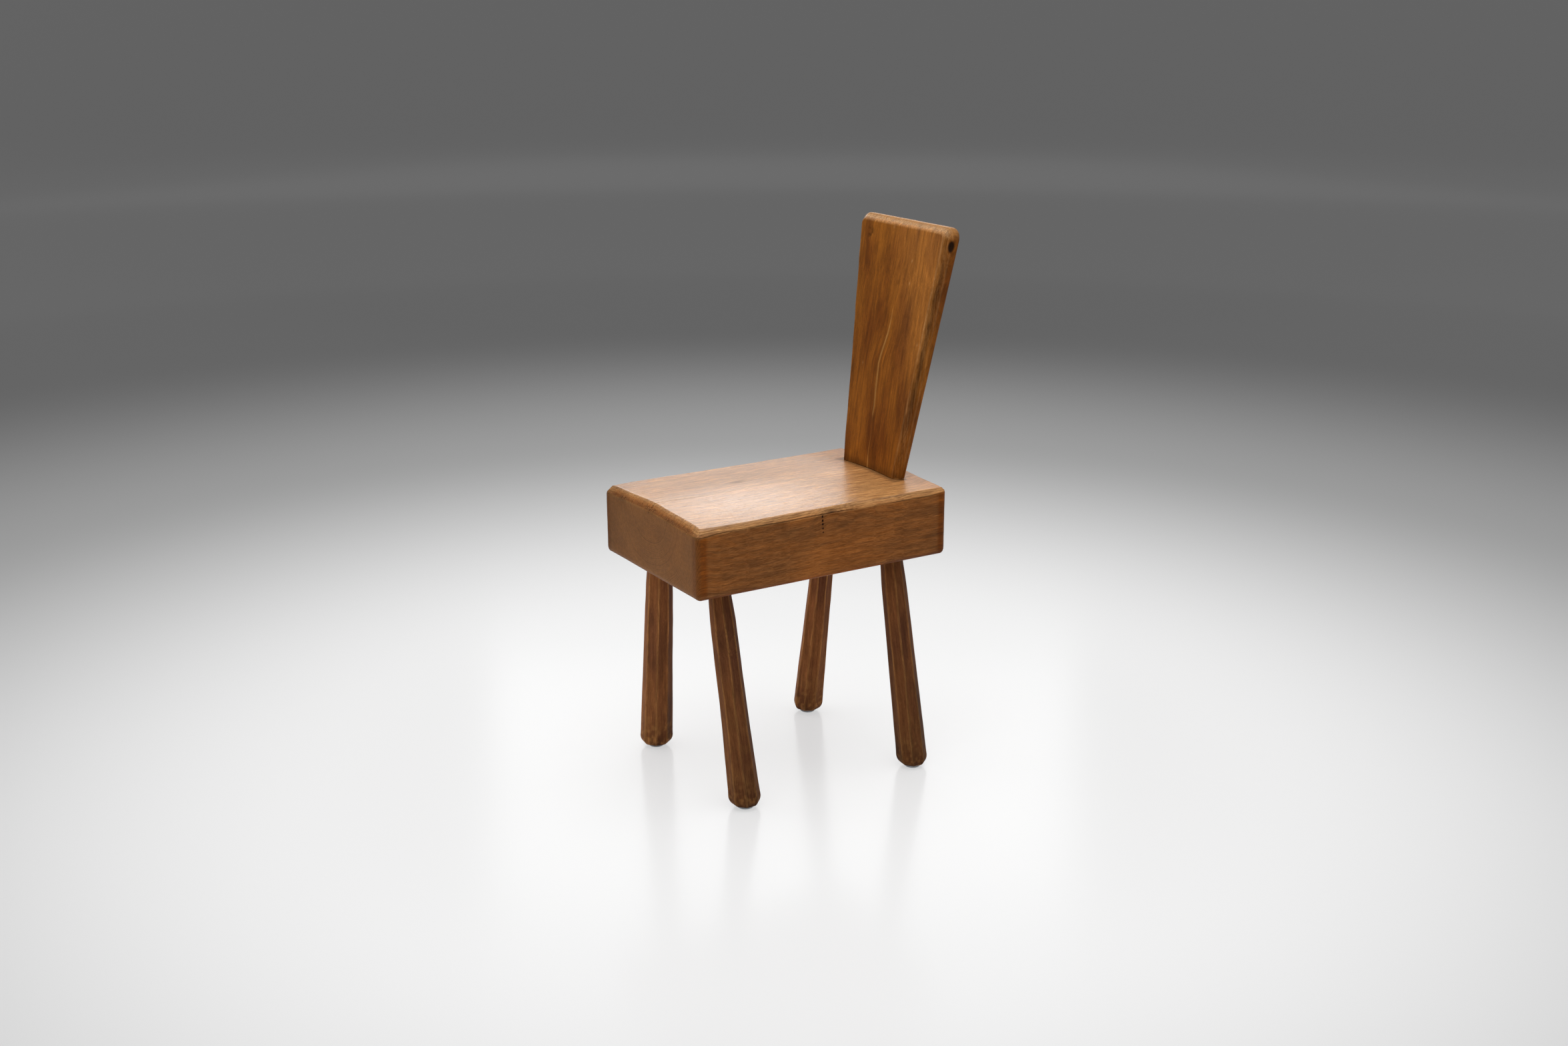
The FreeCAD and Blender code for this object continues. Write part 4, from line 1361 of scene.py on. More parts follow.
def wear_plank(points, quads):
    """Takes the wear off along the direction out of the surface."""
    depth = hollows(points[:, [0, 2, 1]], PLANK_HOLLOWS)
    inside, way_out = inside_rim(points[:, 0], points[:, 2])
    on_bevel = on_front_bevel(inside, points[:, 1])
    layers = 0.5 + 0.5 * np.sin(2 * pi * (points[:, 1] / 3 + line_noise(points[:, 2], 40, 23)))
    depth += PLANK_FRAY_DEPTH * on_bevel * np.abs(way_out[:, 0]) * layers
    crumble = 0.5 + 0.5 * soft_noise(points, (2.6, 4, 5), 24)
    depth += CRUMBLE_DEPTH * on_bevel * way_out[:, 1] * crumble
    knot = far_from(KNOT, points, (6, 6, 12))
    knot_rings = 0.5 + 0.5 * np.sin(9 * knot)
    depth += KNOT_DEPTH * bump(knot, 1) + KNOT_RING_DEPTH * bump(knot, 2) * knot_rings
    return points - outward(points, quads) * depth[:, None]


def stand_up(points):
    """Takes points from the plank's own terms into the chair."""
    return plank_start + points[:, :1] * (1, 0, 0) + points[:, 1:2] * into_plank + points[:, 2:] * up_plank


def lay_flat(points):
    """Takes points from the chair back into the plank's own terms."""
    place = points - plank_start
    return np.stack([place[:, 0], place @ into_plank, place @ up_plank], 1)


plank_points = stand_up(wear_plank(plank_points, plank_quads))
plank = new_mesh("backrest_plank", plank_points, plank_quads.tolist())
print("the plank's top stands", plank_points[:, 2].max().round(1), "mm above the floor")

# %% [markdown]
# The stub tenon is joined on under the shoulder and kerfed for its two wedges. A packed wedge, made a little
# wider than itself, is exactly the tool that cuts its own kerf.

# %% Tenon and kerfs
KERF_GROWTH = 1.35
KERF_EASE = 1.02


def kerf_tool(node, growth):
    """A packed wedge, grown about its middle: the slot that it is driven into."""
    middle = Vector(sum(box_of(node)) / 2 * MM)
    tool = frame["nodes"][node].copy()
    tool.data = tool.data.copy()
    tool.parent = None
    tool.name = "kerf"
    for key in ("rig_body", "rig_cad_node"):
        del tool[key]
    bpy.context.scene.collection.objects.link(tool)
    grow = Matrix.Translation(middle) @ Matrix.Diagonal((*growth, 1)) @ Matrix.Translation(-middle)
    tool.data.transform(grow)
    mesh = bmesh.new()
    mesh.from_mesh(tool.data)
    bmesh.ops.remove_doubles(mesh, verts=mesh.verts, dist=0.01 * MM)
    mesh.to_mesh(tool.data)
    mesh.free()
    return tool


tenon = plank_prism(
    "tenon",
    PLANK_TENON_WIDTH / 2,
    SHOULDER,
    FOOT_THICKNESS - SHOULDER,
    plank_start[2] - PLANK_TENON_LENGTH,
    plank_start[2] + OVERRUN,
)
apply_tool(plank, tenon, "UNION")
for side in ("left", "right"):
    apply_tool(plank, kerf_tool(f"wedge_backrest_{side}", (KERF_EASE, KERF_GROWTH, 1)))
print("plank with tenon:", len(plank.data.polygons), "faces")

# %% [markdown]
# In the plank's fields, the heart follows the crooked pale line that the real face shows: the line leaves the
# middle to the sitter's left near the top, swings past it half way down, and ends nearly in the middle at the
# seat. The grain swells round the knot and the burl, and a few small flecks are rubbed through to pale wood.

# %% Where the plank lies in the tree
HEART_UP_SHARES = (0.0, 0.04, 0.22, 0.42, 0.55, 0.74, 1.0)
HEART_ACROSS = (-1.0, -2.3, -5.2, -9.1, 3.8, 12.4, 14.0)
HEART_PULL = 60.0
KNOT_SWELL = 9.0
BURL_SWELL = 8.0
BURL_SIZE = (10, 10, 20)


def plank_grain(points):
    """Each point's place in the tree: across, along and through from the heart."""
    across, into, up = points.T
    heart = np.interp(up / PLANK_LENGTH, HEART_UP_SHARES, HEART_ACROSS) + 1.4 * line_noise(up, 26, 51)
    sunk = 1.5 + 2.0 * line_noise(up, 34, 52) + 6 * ease(up, 285, 330)
    grain = np.stack([across - heart * bump(across - heart, HEART_PULL), up, into - sunk], 1)
    curls = 1 + 0.5 * soft_noise(points, (4, 9, 7), 53)
    grain[:, 0] += KNOT_SWELL * bump(far_from(KNOT, points, (10, 10, 16)), 2.2)
    grain[:, 0] += BURL_SWELL * bump(far_from(BURL, points, BURL_SIZE), 1.8) * curls
    return grain


plank_points = lay_flat(points_of(plank))
plank_place = plank_grain(plank_points)
print("the plank reaches", np.abs(plank_place[:, 0]).max().round(), "mm across from the heart")

# %% [markdown]
# The plank is rubbed along the inner arris of its bevel and on its top end, where hands take hold of it. Its
# upper corner on the sitter's left is more golden, it is lighter towards its top and darker towards the
# sitter's right edge, and its side bevels are painted darker towards the middle, as painted shade. Dirt lies in
# the knot and in the burl, and along the foot the plank is darker, partly dirt and partly painted shade.

# %% Where the plank is worn and dirty
FLECKS = ((39, 334), (41, 300), (-19, 380), (-52, 160), (83, 211))
FLECK_SIZE = (2.6, 4)
MOST_RUBBED = 0.95


def plank_fields(points):
    """The plank's wear, polish, dirt, torn fibres, end grain, shade and warmth."""
    across, into, up = points.T
    inside, way_out = inside_rim(across, up)
    at_side, at_top = np.abs(way_out[:, 0]), way_out[:, 1]
    on_bevel = on_front_bevel(inside, into)
    inner_arris = bump(inside - FRONT_BEVEL, 3) * bump(into, 2.5)
    outer_arris = bump(inside, 2) * bump(into - FRONT_BEVEL, 3)
    front = ease(into, 6, 2)
    patch = 0.5 + 0.5 * soft_noise(points, (30, 9, 55), 54)
    golden = ease(across + 0.35 * up, 70, 190) * front
    fleck = sum(oval(across, up, place, FLECK_SIZE) for place in FLECKS) * front
    worn = 0.5 * inner_arris * (0.4 + 0.6 * patch) + 0.25 * outer_arris + 0.12 * golden + 0.5 * fleck
    worn += on_bevel * (at_side * 0.28 * patch + 0.9 * at_top)
    dark_knot = ease(far_from(KNOT, points, (5, 6, 10)), 1.15, 0.7)
    swirl = ease(soft_noise(points, (2.2, 9, 6), 55), 0.0, 0.4)
    dirt = 0.95 * dark_knot + 0.75 * bump(far_from(BURL, points, BURL_SIZE), 1) * swirl
    # Lighter towards the top and darker towards the sitter's right edge.
    shade = 0.92 + 0.1 * up / PLANK_LENGTH + 0.1 * golden - 0.12 * ease(across, -50, -100) * front
    # The side bevels are painted darker towards the middle, as painted shade.
    shade -= 0.4 * on_bevel * at_side * ease(up, 350, 290) * ease(up, 60, 120)
    return {
        "worn": np.clip(worn, 0, MOST_RUBBED),
        "polish": 0.15 * inner_arris + 0.4 * on_bevel * at_top,
        # The foot is darker: partly dirt, partly painted shade where the plank meets the seat.
        "grime": np.clip(dirt + 0.35 * ease(up, 12, 0), 0, 1),
        "torn": on_bevel * (0.4 * at_top + 0.35 * at_side),
        "end_grain": ease(inside, 7, 0) * at_top,
        "shade": shade,
        "warmth": 0.5 + 0.12 * golden + 0.05 * soft_noise(points, (24, 9, 60), 56),
    }


store(plank, plank_place, **plank_fields(plank_points))
belongs(plank, "backrest", backrest_finish)

# %% [markdown]
# A leg is planed to eight flats, each by eye, so the flats bend and their widths wander. A loft through the
# packed leg's four octagons would give perfectly flat facets. Here each flat is a plane whose distance from
# the leg's middle changes down its length, and the section at any level is what lies inside all eight: a soft
# minimum of the eight distances, which also rubs the arrises round. Most of a ring's points sit close to the
# arrises, because the flats between them need few.

# %% The planed flats of a leg
PACKED_CHAMFER_RISE = 15.0
CHAMFER_RISE = 16.0
NECK_LENGTH = 52.0
BEND_SOFTNESS = 5.0
BEND_SAMPLES = 9
SOLE_SHARE = 0.5
FOOT_ROUND = 2.1
HOLLOW = {"front_left": 1.4}
FOOT_CALM = 10.0
SEAT_CALM = 20.0
WAVE_DEPTH = 0.5
WAVE_LENGTH = 75.0
CHATTER_DEPTH = 0.16
CHATTER_LENGTH = 21.0


def flats_of(leg):
    """The levels of a packed leg's octagons, and for each of its flats the angle and the distances out."""
    node = f"leg_{leg}"
    sole = box_of(node)[0][2]
    levels = np.array([sole, sole + PACKED_CHAMFER_RISE, seat_low[2] - NECK_LENGTH, seat_low[2]])
    reach, middles = [], []
    for level in levels:
        corners, middle = ring_at(node, level)
        edge = np.roll(corners, -1, axis=0) - corners
        out = np.stack([edge[:, 1], -edge[:, 0]], 1) / np.linalg.norm(edge[:, :2], axis=1)[:, None]
        reach.append(((corners - middle)[:, :2] * out).sum(axis=1))
        middles.append(middle)
    return levels, np.arctan2(out[:, 1], out[:, 0]), np.array(reach), np.array(middles)


def planed_flats(leg, heights, seed):
    """How far each flat lies from the leg's middle at each height, as the plane left it."""
    levels, angles, reach, _ = flats_of(leg)
    shifts = np.linspace(-BEND_SOFTNESS, BEND_SOFTNESS, BEND_SAMPLES)
    rise = np.clip((heights - levels[0]) / CHAMFER_RISE, 0, 1)
    foot = SOLE_SHARE + (1 - SOLE_SHARE) * (1 - (1 - rise) ** FOOT_ROUND) ** (1 / FOOT_ROUND)
    shaft = ease(heights, levels[0], levels[1] + FOOT_CALM)
    shaft *= ease(heights, levels[3], levels[3] - SEAT_CALM)
    up_shaft = np.clip((heights - levels[0]) / (levels[2] - levels[0]), 0, 1)
    bow = HOLLOW.get(leg, 0) * np.sin(pi * up_shaft)
    flats = []
    for index, out in enumerate(reach[1:].T):
        straight = sum(np.interp(heights + shift, levels[1:], out) for shift in shifts) / len(shifts)
        wave = WAVE_DEPTH * (1 + line_noise(heights, WAVE_LENGTH, seed + index))
        wave += CHATTER_DEPTH * (1 + line_noise(heights, CHATTER_LENGTH, seed + index + 9))
        flats.append(straight * foot - (wave + bow) * shaft)
    return np.array(flats).T, angles


for leg in LEGS:
    _, _, reach, _ = flats_of(leg)
    foot, neck = (reach[row].mean() * 2 for row in (1, 2))
    print(f"leg {leg}: {foot:.1f} mm across its flats at the foot and {neck:.1f} at the neck")

# %% [markdown]
# At each level the eight flats meet in eight corners. The section runs from corner to corner as angles and
# distances out, and the soft minimum takes about 0.2 mm off each corner, which rounds it.

# %% The section of a leg
FACET_SHARES = np.array((0.0, 0.025, 0.06, 0.14, 0.3, 0.5, 0.7, 0.86, 0.94, 0.975))
ARRIS_SHARPNESS = 3.2
LEAST_FACING = 0.2


def leg_section(leg, heights, seed):
    """The angles round the leg and the distances out of its middle, one row for each height."""
    flats, angles = planed_flats(leg, heights, seed)
    before, angle_before = np.roll(flats, 1, axis=1), np.roll(angles, 1)
    across = before * np.sin(angles) - flats * np.sin(angle_before)
    along = flats * np.cos(angle_before) - before * np.cos(angles)
    corners = np.unwrap(np.arctan2(along, across), axis=1)
    width = np.roll(corners, -1, axis=1) - corners
    width[:, -1] += 2 * pi
    turn = (corners[:, :, None] + width[:, :, None] * FACET_SHARES).reshape(len(heights), -1)
    nearest = np.zeros_like(turn)
    for index, angle in enumerate(angles):
        distance = flats[:, index, None] / np.maximum(np.cos(turn - angle), LEAST_FACING)
        nearest += np.exp(-ARRIS_SHARPNESS * distance)
    return turn, -np.log(nearest) / ARRIS_SHARPNESS


print("points round a leg:", FLATS * len(FACET_SHARES))

# %% [markdown]
# Each leg is one skin of rings: from the tip of the nail hole down its wall, out over the sole, round the
# softened chamfer, up the shaft to the seat, in over the shoulder and up the tenon.

# %% Build a leg
NAIL_HOLE = 1.2
NAIL_DEPTH = 19.0
NAIL_POINT = 3.0
NAIL_TIP_SHARE = 0.3
SOLE_SHARES = (0, 0.25, 0.5, 0.75)
FOOT_MARGIN = 4.0
FOOT_CROWDING = 1.6
FOOT_RINGS = 20
SHAFT_RINGS = 110
TENON_START = 0.2
TENON_CHAMFER = 1.0


def leg_rings(leg, seed):
    """All the rings of one leg, from the nail hole to the end of the tenon."""
    levels, _, _, middles = flats_of(leg)
    knee = levels[0] + CHAMFER_RISE + FOOT_MARGIN
    up_foot = np.linspace(0, 1, FOOT_RINGS, endpoint=False) ** FOOT_CROWDING
    foot = levels[0] + (knee - levels[0]) * up_foot
    heights = np.concatenate([foot, np.linspace(knee, levels[3], SHAFT_RINGS)])
    turn, section = leg_section(leg, heights, seed)
    centres = np.stack([np.interp(heights, levels[[0, 3]], ends) for ends in middles[[0, 3]].T], 1)
    hole = np.full(section.shape[1], NAIL_HOLE)
    rings = [ring_round(centres[0] + UPRIGHT * NAIL_DEPTH, UPRIGHT, hole * NAIL_TIP_SHARE, turn[0])]
    rings.append(ring_round(centres[0] + UPRIGHT * (NAIL_DEPTH - NAIL_POINT), UPRIGHT, hole, turn[0]))
    for share in SOLE_SHARES:
        rings.append(ring_round(centres[0], UPRIGHT, hole + (section[0] - hole) * share, turn[0]))
    rings += [ring_round(centre, UPRIGHT, *row) for centre, *row in zip(centres, section, turn)]
    top, up = leg_axis(leg)
    tenon = np.full(section.shape[1], TENON_RADIUS)
    start = TENON_RADIUS * sqrt(1 - up[2] ** 2) / up[2] + TENON_START
    for climb in (start, TENON_LENGTH / 2, TENON_LENGTH - TENON_CHAMFER):
        rings.append(ring_round(top + up * climb, up, tenon, turn[-1]))
    rings.append(ring_round(top + up * TENON_LENGTH, up, tenon - TENON_CHAMFER, turn[-1]))
    return np.array(rings)


# %% [markdown]
# The four legs were not cut from one stick: each gets its own place in its own tree, picked by a seed, and the
# two on the sitter's right are painted lighter than the two on the left, partly as painted light. The flats
# that face forward and a little to the sitter's right are painted lighter and those facing away darker, as
# painted light and shade, with a random share for each flat. The grain of the front left leg has a curl.

# %% Where the legs lie in the tree
# How much lighter or darker each leg is painted, partly as painted light.
LEG_SHADES = {"front_left": 0.96, "front_right": 1.36, "rear_left": 0.9, "rear_right": 1.42}
# How much each leg darkens towards the floor.
LEG_LOW_DARKENING = {"front_left": 0.22, "front_right": 0.1, "rear_left": 0.26, "rear_right": 0.0}
# The way that the flats painted lightest face, as painted light; each flat adds a random share.
LIT_WAY = radians(240)
LIT_CHANCE = 0.5
CURL_HEIGHTS = {"front_left": 262.0}
NO_CURL = -100.0
CURL_HALF_HEIGHT = 26.0
LEG_CURL_PUSH = 7.0
HEART_BEHIND = 20.0
LEG_SPREAD = np.array((24, 700, 8))
LEG_RUNOUT = 0.03


def leg_grain(points, leg, seed):
    """Each point's place in the tree: across, along and across from the heart, which lies outside the leg."""
    top, up = leg_axis(leg)
    along = (points - top) @ up
    off_axis = points - top - along[:, None] * up
    grain = np.stack([off_axis[:, 0], along, off_axis[:, 1] + HEART_BEHIND], 1)
    grain += LEG_SPREAD * np.random.default_rng(seed).uniform(-1, 1, 3)
    curl = bump(np.abs(points[:, 2] - CURL_HEIGHTS.get(leg, NO_CURL)), CURL_HALF_HEIGHT)
    grain[:, 0] += LEG_RUNOUT * along + LEG_CURL_PUSH * curl
    return grain


def facets_at(points, leg, seed):
    """How much each point lies on an arris, and how much painted light its flat gets from the way it faces."""
    levels, _, _, middles = flats_of(leg)
    flats, angles = planed_flats(leg, points[:, 2], seed)
    centres = np.stack([np.interp(points[:, 2], levels[[0, 3]], ends) for ends in middles[[0, 3], :2].T], 1)
    gaps = flats - (points[:, :2] - centres) @ np.stack([np.cos(angles), np.sin(angles)])
    chance = np.random.default_rng(seed + 50).uniform(-1, 1, len(angles))
    facet_light = np.cos(angles - LIT_WAY) + LIT_CHANCE * chance
    return ease(np.sort(gaps, axis=1)[:, 1], 1.6, 0.5), facet_light[gaps.argmin(axis=1)]


# %% [markdown]
# Arrises are rubbed, and towards the floor every leg is scuffed by shoes and brooms, dusty and dirty, and
# below about 230 mm it is also darker, most on the sitter's left. Where a scuff has gone through the wood's
# skin it takes the dirt off too.

# %% Where the legs are worn and dirty
def finish_leg(piece, leg, seed):
    """Stores a leg's grain, wear, dirt and end grain."""
    points = points_of(piece)
    height = points[:, 2]
    arris, facet_light = facets_at(points, leg, seed)
    low = ease(height, 80, 4)
    rub = 0.5 + 0.5 * soft_noise(points, (40, 40, 45), seed)
    scuff = ease(soft_noise(points, (4, 4, 5), seed + 3), 0.0, 0.5) * low
    dust = ease(soft_noise(points, (9, 9, 14), seed + 5), -0.2, 0.5) * ease(height, 260, 20)
    dirt = 0.4 * ease(height, 14, 5) + 0.2 * low + 0.25 * low * (1 - rub)
    store(
        piece,
        leg_grain(points, leg, seed),
        worn=np.clip(arris * (0.4 + 0.6 * rub) + 0.75 * scuff + 0.22 * dust, 0, 0.85),
        grime=dirt * (1 - 0.85 * scuff),
        polish=0.04 * arris,
        end_grain=ease(height, 7, 4.2),
        # Each flat is painted lighter and warmer, or darker, by the way it faces: painted light and shade.
        shade=LEG_SHADES[leg] * (1 + 0.12 * facet_light - LEG_LOW_DARKENING[leg] * ease(height, 230, 110)),
        warmth=0.5 + 0.1 * facet_light,
    )


for number, leg in enumerate(LEGS):
    seed = 100 + 20 * number
    piece = new_mesh(f"planed_leg_{leg}", *loft(leg_rings(leg, seed)))
    apply_tool(piece, kerf_tool(f"wedge_{leg}", (KERF_GROWTH, KERF_EASE, 1)))
    finish_leg(piece, leg, seed)
    belongs(piece, f"leg_{leg}", leg_finish)

# %% [markdown]
# Under each foot is a nail-on glide: a white plastic disc, moulded in polyethylene, which is why it looks
# waxy and a little bluish. Polyethylene's IOR is 1.5, the mould leaves it satin, and a little light spreads
# under its skin. Floor grit has scratched it with dull specks of a millimetre or two.

# %% Finish of the glides
SPECK_SIZE = 1.5 * MM
SPECK_STEP = (0.52, 0.75, 0.0, 0.4)
SPECK_RELIEF = 0.1 * MM
PLASTIC_IOR = 1.5
LIGHT_SPREAD = (2 * MM, 2 * MM, 2.4 * MM)


def moulded_polyethylene():
    """White polyethylene: satin from the mould, and specked by the floor."""
    material, tree = new_material("moulded_white_polyethylene")
    node = partial(add, tree)
    place = node("ShaderNodeTexCoord").outputs["Object"]
    speck = node("ShaderNodeTexNoise", (place, 1 / SPECK_SIZE, 3.0))
    scuff = node("ShaderNodeMapRange", (speck, *SPECK_STEP), **SMOOTH)
    relief = {"Height": speck, "Strength": 0.2, "Distance": SPECK_RELIEF}
    surface = {
        "Base Color": node("ShaderNodeMix", (scuff, linear("#eef5fb"), linear("#b9b5ab")), **BLEND),
        "Roughness": 0.42,
        "IOR": PLASTIC_IOR,
        "Subsurface Weight": 0.1,
        "Subsurface Radius": LIGHT_SPREAD,
        "Normal": node("ShaderNodeBump", relief),
    }
    node("ShaderNodeOutputMaterial", {"Surface": node("ShaderNodeBsdfPrincipled", surface)})
    print(f"{material.name}: {len(tree.nodes)} nodes")
    return material


glide_finish = moulded_polyethylene()

# %% [markdown]
# The disc is round, so it is turned from a profile, as it would be on a lathe. The profile has the soft rim
# of a moulding, the flat recess for the nail's head and a fine parting line half way up its edge.

# %% The profile of a glide
GLIDE_RADIUS = 12.5
GLIDE_ROUND = 1.6
RECESS_RADIUS = 3.3
RECESS_TOP = 2.2
RECESS_EASE = 0.2
TOP_EASE = 0.4
PARTING = 0.12
PARTING_HALF = 0.15


def rounded_rim(centre, radius, steps=6):
    """The quarter turn from the underside of a disc to its edge, as radius and height."""
    turns = [pi / 2 * step / steps for step in range(steps + 1)]
    return [(centre[0] + radius * sin(turn), centre[1] - radius * cos(turn)) for turn in turns]


def glide_profile(height):
    """Radius and height from the nail hole, down and out under the disc, to the hole's upper end."""
    middle = (height + GLIDE_ROUND) / 2
    return [
        (NAIL_HOLE, height),
        (NAIL_HOLE, RECESS_TOP),
        (RECESS_RADIUS, RECESS_TOP),
        (RECESS_RADIUS, RECESS_EASE),
        (RECESS_RADIUS + RECESS_EASE, 0),
        *rounded_rim((GLIDE_RADIUS - GLIDE_ROUND, GLIDE_ROUND), GLIDE_ROUND),
        (GLIDE_RADIUS, middle - PARTING_HALF),
        (GLIDE_RADIUS - PARTING, middle),
        (GLIDE_RADIUS, middle + PARTING_HALF),
        (GLIDE_RADIUS, height - TOP_EASE),
        (GLIDE_RADIUS - TOP_EASE, height),
    ]


print("places on the glide's profile:", len(glide_profile(box_of("glide_front_left")[1][2])))

# %% [markdown]
# Each place on the profile becomes one ring of points round an upright axis. The glide's profile closes on
# itself, because the nail hole goes right through, so its last ring joins the first.

# %% Turn the glides
GLIDE_SIDES = 72


def turn_profile(centre, profile, sides):
    """One ring of points round an upright axis for each radius and height of a profile."""
    angles = evenly_round(sides)
    return [
        ring_round(centre + UPRIGHT * height, UPRIGHT, np.full(sides, radius), angles)
        for radius, height in profile
    ]


def turned(name, centre, profile):
    """A ring-shaped piece turned about an upright axis: the profile closes on itself."""
    rings = turn_profile(centre, profile, GLIDE_SIDES)
    number = np.arange(len(rings) * GLIDE_SIDES).reshape(len(rings), GLIDE_SIDES)
    beside = np.roll(number, -1, axis=1)
    quads = np.stack([number, beside, np.roll(beside, -1, axis=0), np.roll(number, -1, axis=0)], -1)
    return new_mesh(name, np.concatenate(rings), quads.reshape(-1, 4).tolist())


for leg in LEGS:
    low, high = box_of(f"glide_{leg}")
    centre = (low + high) / 2 * (1, 1, 0)
    piece = turned(f"glide_disc_{leg}", centre, glide_profile(high[2]))
    belongs(piece, f"glide_{leg}", glide_finish)

# %% [markdown]
# The nails and the wedges are right as they are packed, and only a look underneath or into the joint shows
# them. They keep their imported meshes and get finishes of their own: bright drawn steel for the nails, and
# plain split wood, neither stained nor waxed, for the wedges. The lines that a drawing die leaves on steel
# are hundredths of a millimetre wide, so they are drawn coarser here, at three tenths, to show at all.

# %% Finishes of the nails and wedges
DRAWN_LINE = (1 / (0.3 * MM), 1 / (0.3 * MM), 1 / (6 * MM))
SPLIT_FIBRE = (1 / (0.8 * MM), 1 / (0.8 * MM), 1 / (20 * MM))
LINE_RELIEF = 0.1 * MM
LINE_ROUGHNESS = 0.08


def upright_fibres(name, line_size, dark, light, surface):
    """A finish with fine upright lines, whose colours, sizes and shader settings are given."""
    material, tree = new_material(name)
    node = partial(add, tree)
    place = node("ShaderNodeTexCoord").outputs["Object"]
    scaled = node("ShaderNodeVectorMath", (place, line_size), **TIMES)
    line = node("ShaderNodeTexNoise", (scaled, 1.0, 3.0))
    share = node("ShaderNodeMapRange", (line, 0.32, 0.7), **SMOOTH)
    least, most = surface["Roughness"] - LINE_ROUGHNESS, surface["Roughness"] + LINE_ROUGHNESS
    relief = {"Height": line, "Strength": 0.35, "Distance": LINE_RELIEF}
    surface = {
        **surface,
        "Base Color": node("ShaderNodeMix", (share, linear(dark), linear(light)), **BLEND),
        "Roughness": node("ShaderNodeMapRange", (line, 0.3, 0.7, least, most)),
        "Normal": node("ShaderNodeBump", relief),
    }
    node("ShaderNodeOutputMaterial", {"Surface": node("ShaderNodeBsdfPrincipled", surface)})
    print(f"{material.name}: {len(tree.nodes)} nodes")
    return material


drawn_steel = upright_fibres(
    "bright_drawn_steel", DRAWN_LINE, "#7f7468", "#b9b7b2", {"Metallic": 1.0, "Roughness": 0.36}
)
split_wood = upright_fibres(
    "raw_split_wedge_wood", SPLIT_FIBRE, "#b48a5c", "#d0ad80", {"Roughness": 0.7, "IOR": 1.5}
)
kept_finishes = {"nail": drawn_steel, "wedge": split_wood}
for name, node in sorted(frame["nodes"].items()):
    finish = kept_finishes.get(name.split("_")[0])
    if finish:
        for index in range(len(node.material_slots)):
            node.material_slots[index].material = finish
        print("kept as packed:", name)

# %% [markdown]
# The chair stands on a pale studio floor that curves up into a grey wall all round, so that every view has
# the same plain surroundings. The floor is nearly white round the chair and is painted darker with distance,
# as painted shade, which sets the pale worn edges off against something darker, as a studio backdrop does.
# More than half of what the camera and the chair's reflections see of it is the paint's own colour, glowing
# unlit, so that shadows on the floor stay as faint as in a big white studio.

# %% Floor and wall
FLOOR_DROP = 0.1
FLOOR_RINGS = (1.0, 900.0, 2000.0, 3000.0)
FLOOR_RADIUS = 4200.0
COVE_RADIUS = 700.0
COVE_STEPS = 12
WALL_HEIGHT = 2600.0
ROOM_SIDES = 96


def studio():
    """A round floor with a cove and a wall, turned from one profile."""
    cove = rounded_rim((FLOOR_RADIUS - COVE_RADIUS, COVE_RADIUS), COVE_RADIUS, COVE_STEPS)
    profile = [(radius, 0.0) for radius in FLOOR_RINGS] + cove + [(FLOOR_RADIUS, WALL_HEIGHT)]
    points, faces = loft(np.array(turn_profile(UPRIGHT * -FLOOR_DROP, profile, ROOM_SIDES)))
    room = new_mesh("studio_floor", points, faces[:-1])
    room.data.shade_smooth()
    return room


room = studio()
print("studio:", len(room.data.polygons), "faces")

# %% [markdown]
# The paint is white wall paint with a satin sheen, which mirrors the feet faintly. A painted backdrop would
# be darkened by switching lamps off at a distance. Here its own colour deepens with the distance instead, as
# painted shade, which looks the same and leaves the light on the chair alone.

# %% Backdrop paint
UNLIT_SHARE = 0.6
NEAR_FADE = (0.7, 2.1)
FAR_FADE = (1.6, 3.6)


def backdrop_paint():
    """Satin studio paint, whose grey deepens with the distance from the chair, in metres, as painted shade."""
    material, tree = new_material("satin_studio_paint")
    node = partial(add, tree)
    place = node("ShaderNodeTexCoord").outputs["Object"]
    distance = node("ShaderNodeVectorMath", (place,), operation="LENGTH").outputs["Value"]
    colour = linear("#f4f4f4")
    # The grey deepens with the distance: painted shade.
    for fade, grey in ((NEAR_FADE, "#a9a9a9"), (FAR_FADE, "#6e6e6e")):
        share = node("ShaderNodeMapRange", (distance, *fade), **SMOOTH)
        colour = node("ShaderNodeMix", (share, colour, linear(grey)), **BLEND)
    surface = {"Base Color": colour, "Roughness": 0.2, "IOR": 1.45, "Specular IOR Level": 0.4}
    painted = node("ShaderNodeBsdfPrincipled", surface)
    rays = node("ShaderNodeLightPath").outputs
    seen = node("ShaderNodeMath", (rays["Is Camera Ray"], rays["Is Glossy Ray"]), operation="MAXIMUM")
    share = node("ShaderNodeMath", (seen, UNLIT_SHARE), **TIMES)
    unlit = node("ShaderNodeEmission", (colour, 1.0))
    node("ShaderNodeOutputMaterial", {"Surface": node("ShaderNodeMixShader", (share, painted, unlit))})
    print(f"{material.name}: {len(tree.nodes)} nodes")
    return material


room.data.materials.append(backdrop_paint())

# %% [markdown]
# The light is plain studio light. A big soft box hangs over the chair, and a second one stands low beyond it,
# straight across from the camera: its mirror image in the wax gives the seat its pale sheen, and the
# backrest's image cuts that sheen off near its foot. Two weaker boxes stand to the left and the right of the
# picture, and the world fills the shadows evenly. An area lamp's strength is worked out from the brightness
# that its face should have, so that a bigger lamp stays as bright.

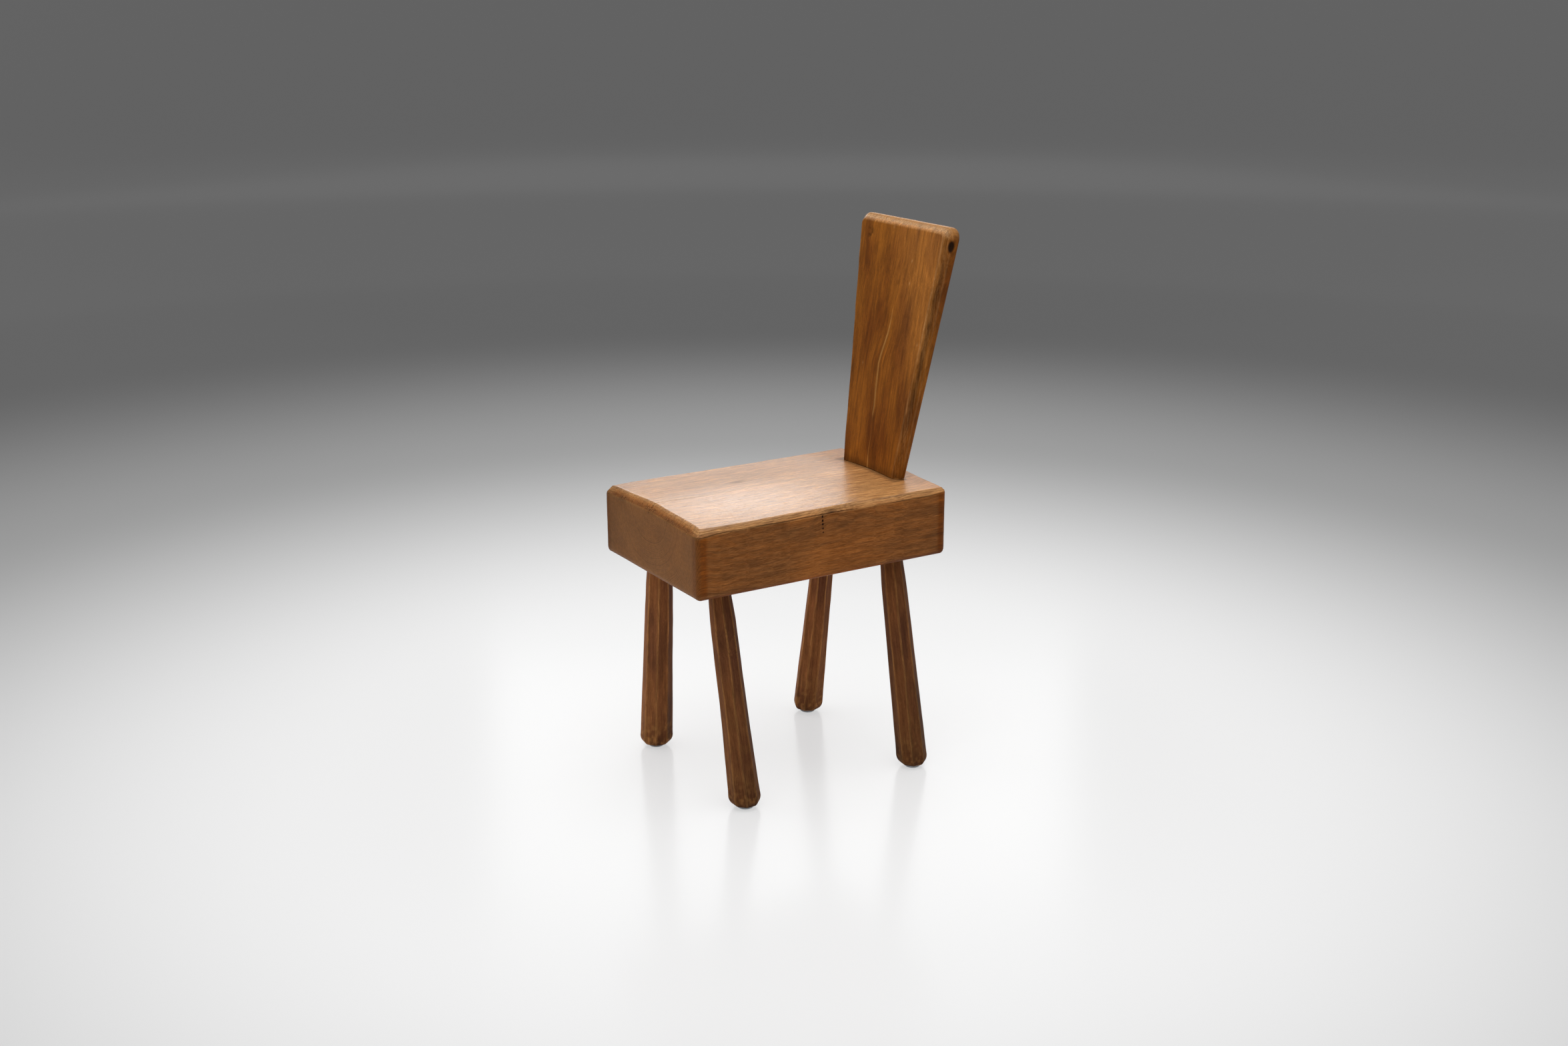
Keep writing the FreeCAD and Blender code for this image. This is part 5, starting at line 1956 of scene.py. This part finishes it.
# %% Lamps and world
SOFT_BOXES = (
    # name, place and target in metres, width, height, brightness
    ("overhead_box", (0.3, -0.2, 2.9), (0, 0, 0.4), 2.6, 2.6, 2.05),
    ("low_rear_box", (-2.6, 1.6, 1.5), (0, 0, 0.5), 2.0, 0.9, 3.6),
    ("left_box", (-2.1, -2.7, 1.5), (0, 0, 0.4), 1.8, 1.6, 0.9),
    ("right_box", (1.8, 2.8, 1.3), (0, 0, 0.4), 1.8, 1.6, 0.9),
)
AIR_BRIGHTNESS = 0.65


def soft_box(name, place, target, width, height, brightness):
    """A rectangular lamp at a place in metres, aimed at a target, whose face has a brightness."""
    lamp = bpy.data.lights.new(name, "AREA")
    lamp.shape = "RECTANGLE"
    lamp.size = width
    lamp.size_y = height
    lamp.energy = brightness * pi * width * height
    holder = bpy.data.objects.new(name, lamp)
    bpy.context.scene.collection.objects.link(holder)
    holder.location = place
    holder.rotation_euler = (Vector(target) - Vector(place)).to_track_quat("-Z", "Y").to_euler()
    print(f"{name}: {lamp.energy:.1f} W")


for box in SOFT_BOXES:
    soft_box(*box)

world = bpy.data.worlds.new("studio_air")
bpy.context.scene.world = world
world.use_nodes = True
air = world.node_tree.nodes["Background"].inputs
air["Color"].default_value = linear("#ffffff")
air["Strength"].default_value = AIR_BRIGHTNESS

# %% [markdown]
# The camera stands where the photographer's did. Its place, bearing and pitch were worked out by matching the
# chair's edges in the picture with the model's, which also gave the focal length: a normal lens, neither
# wide nor long.

# %% Camera
CAMERA_PLACE = (2.347, -1.454, 1.230)
BEARING = 58.25
PITCH = 16.90
ROLL = 0.09
FOCAL_PIXELS = 2765.0
IMAGE_WIDTH = 2350.0
SENSOR = 36.0

camera = bpy.data.objects.new("camera", bpy.data.cameras.new("camera"))
bpy.context.scene.collection.objects.link(camera)
camera.location = CAMERA_PLACE
camera.rotation_euler = Euler((radians(90 - PITCH), radians(ROLL), radians(BEARING)), "XYZ")
camera.data.sensor_width = SENSOR
camera.data.lens = FOCAL_PIXELS * SENSOR / IMAGE_WIDTH
bpy.context.scene.camera = camera
bpy.context.scene.view_settings.view_transform = "Standard"
print("lens:", round(camera.data.lens, 2), "mm")
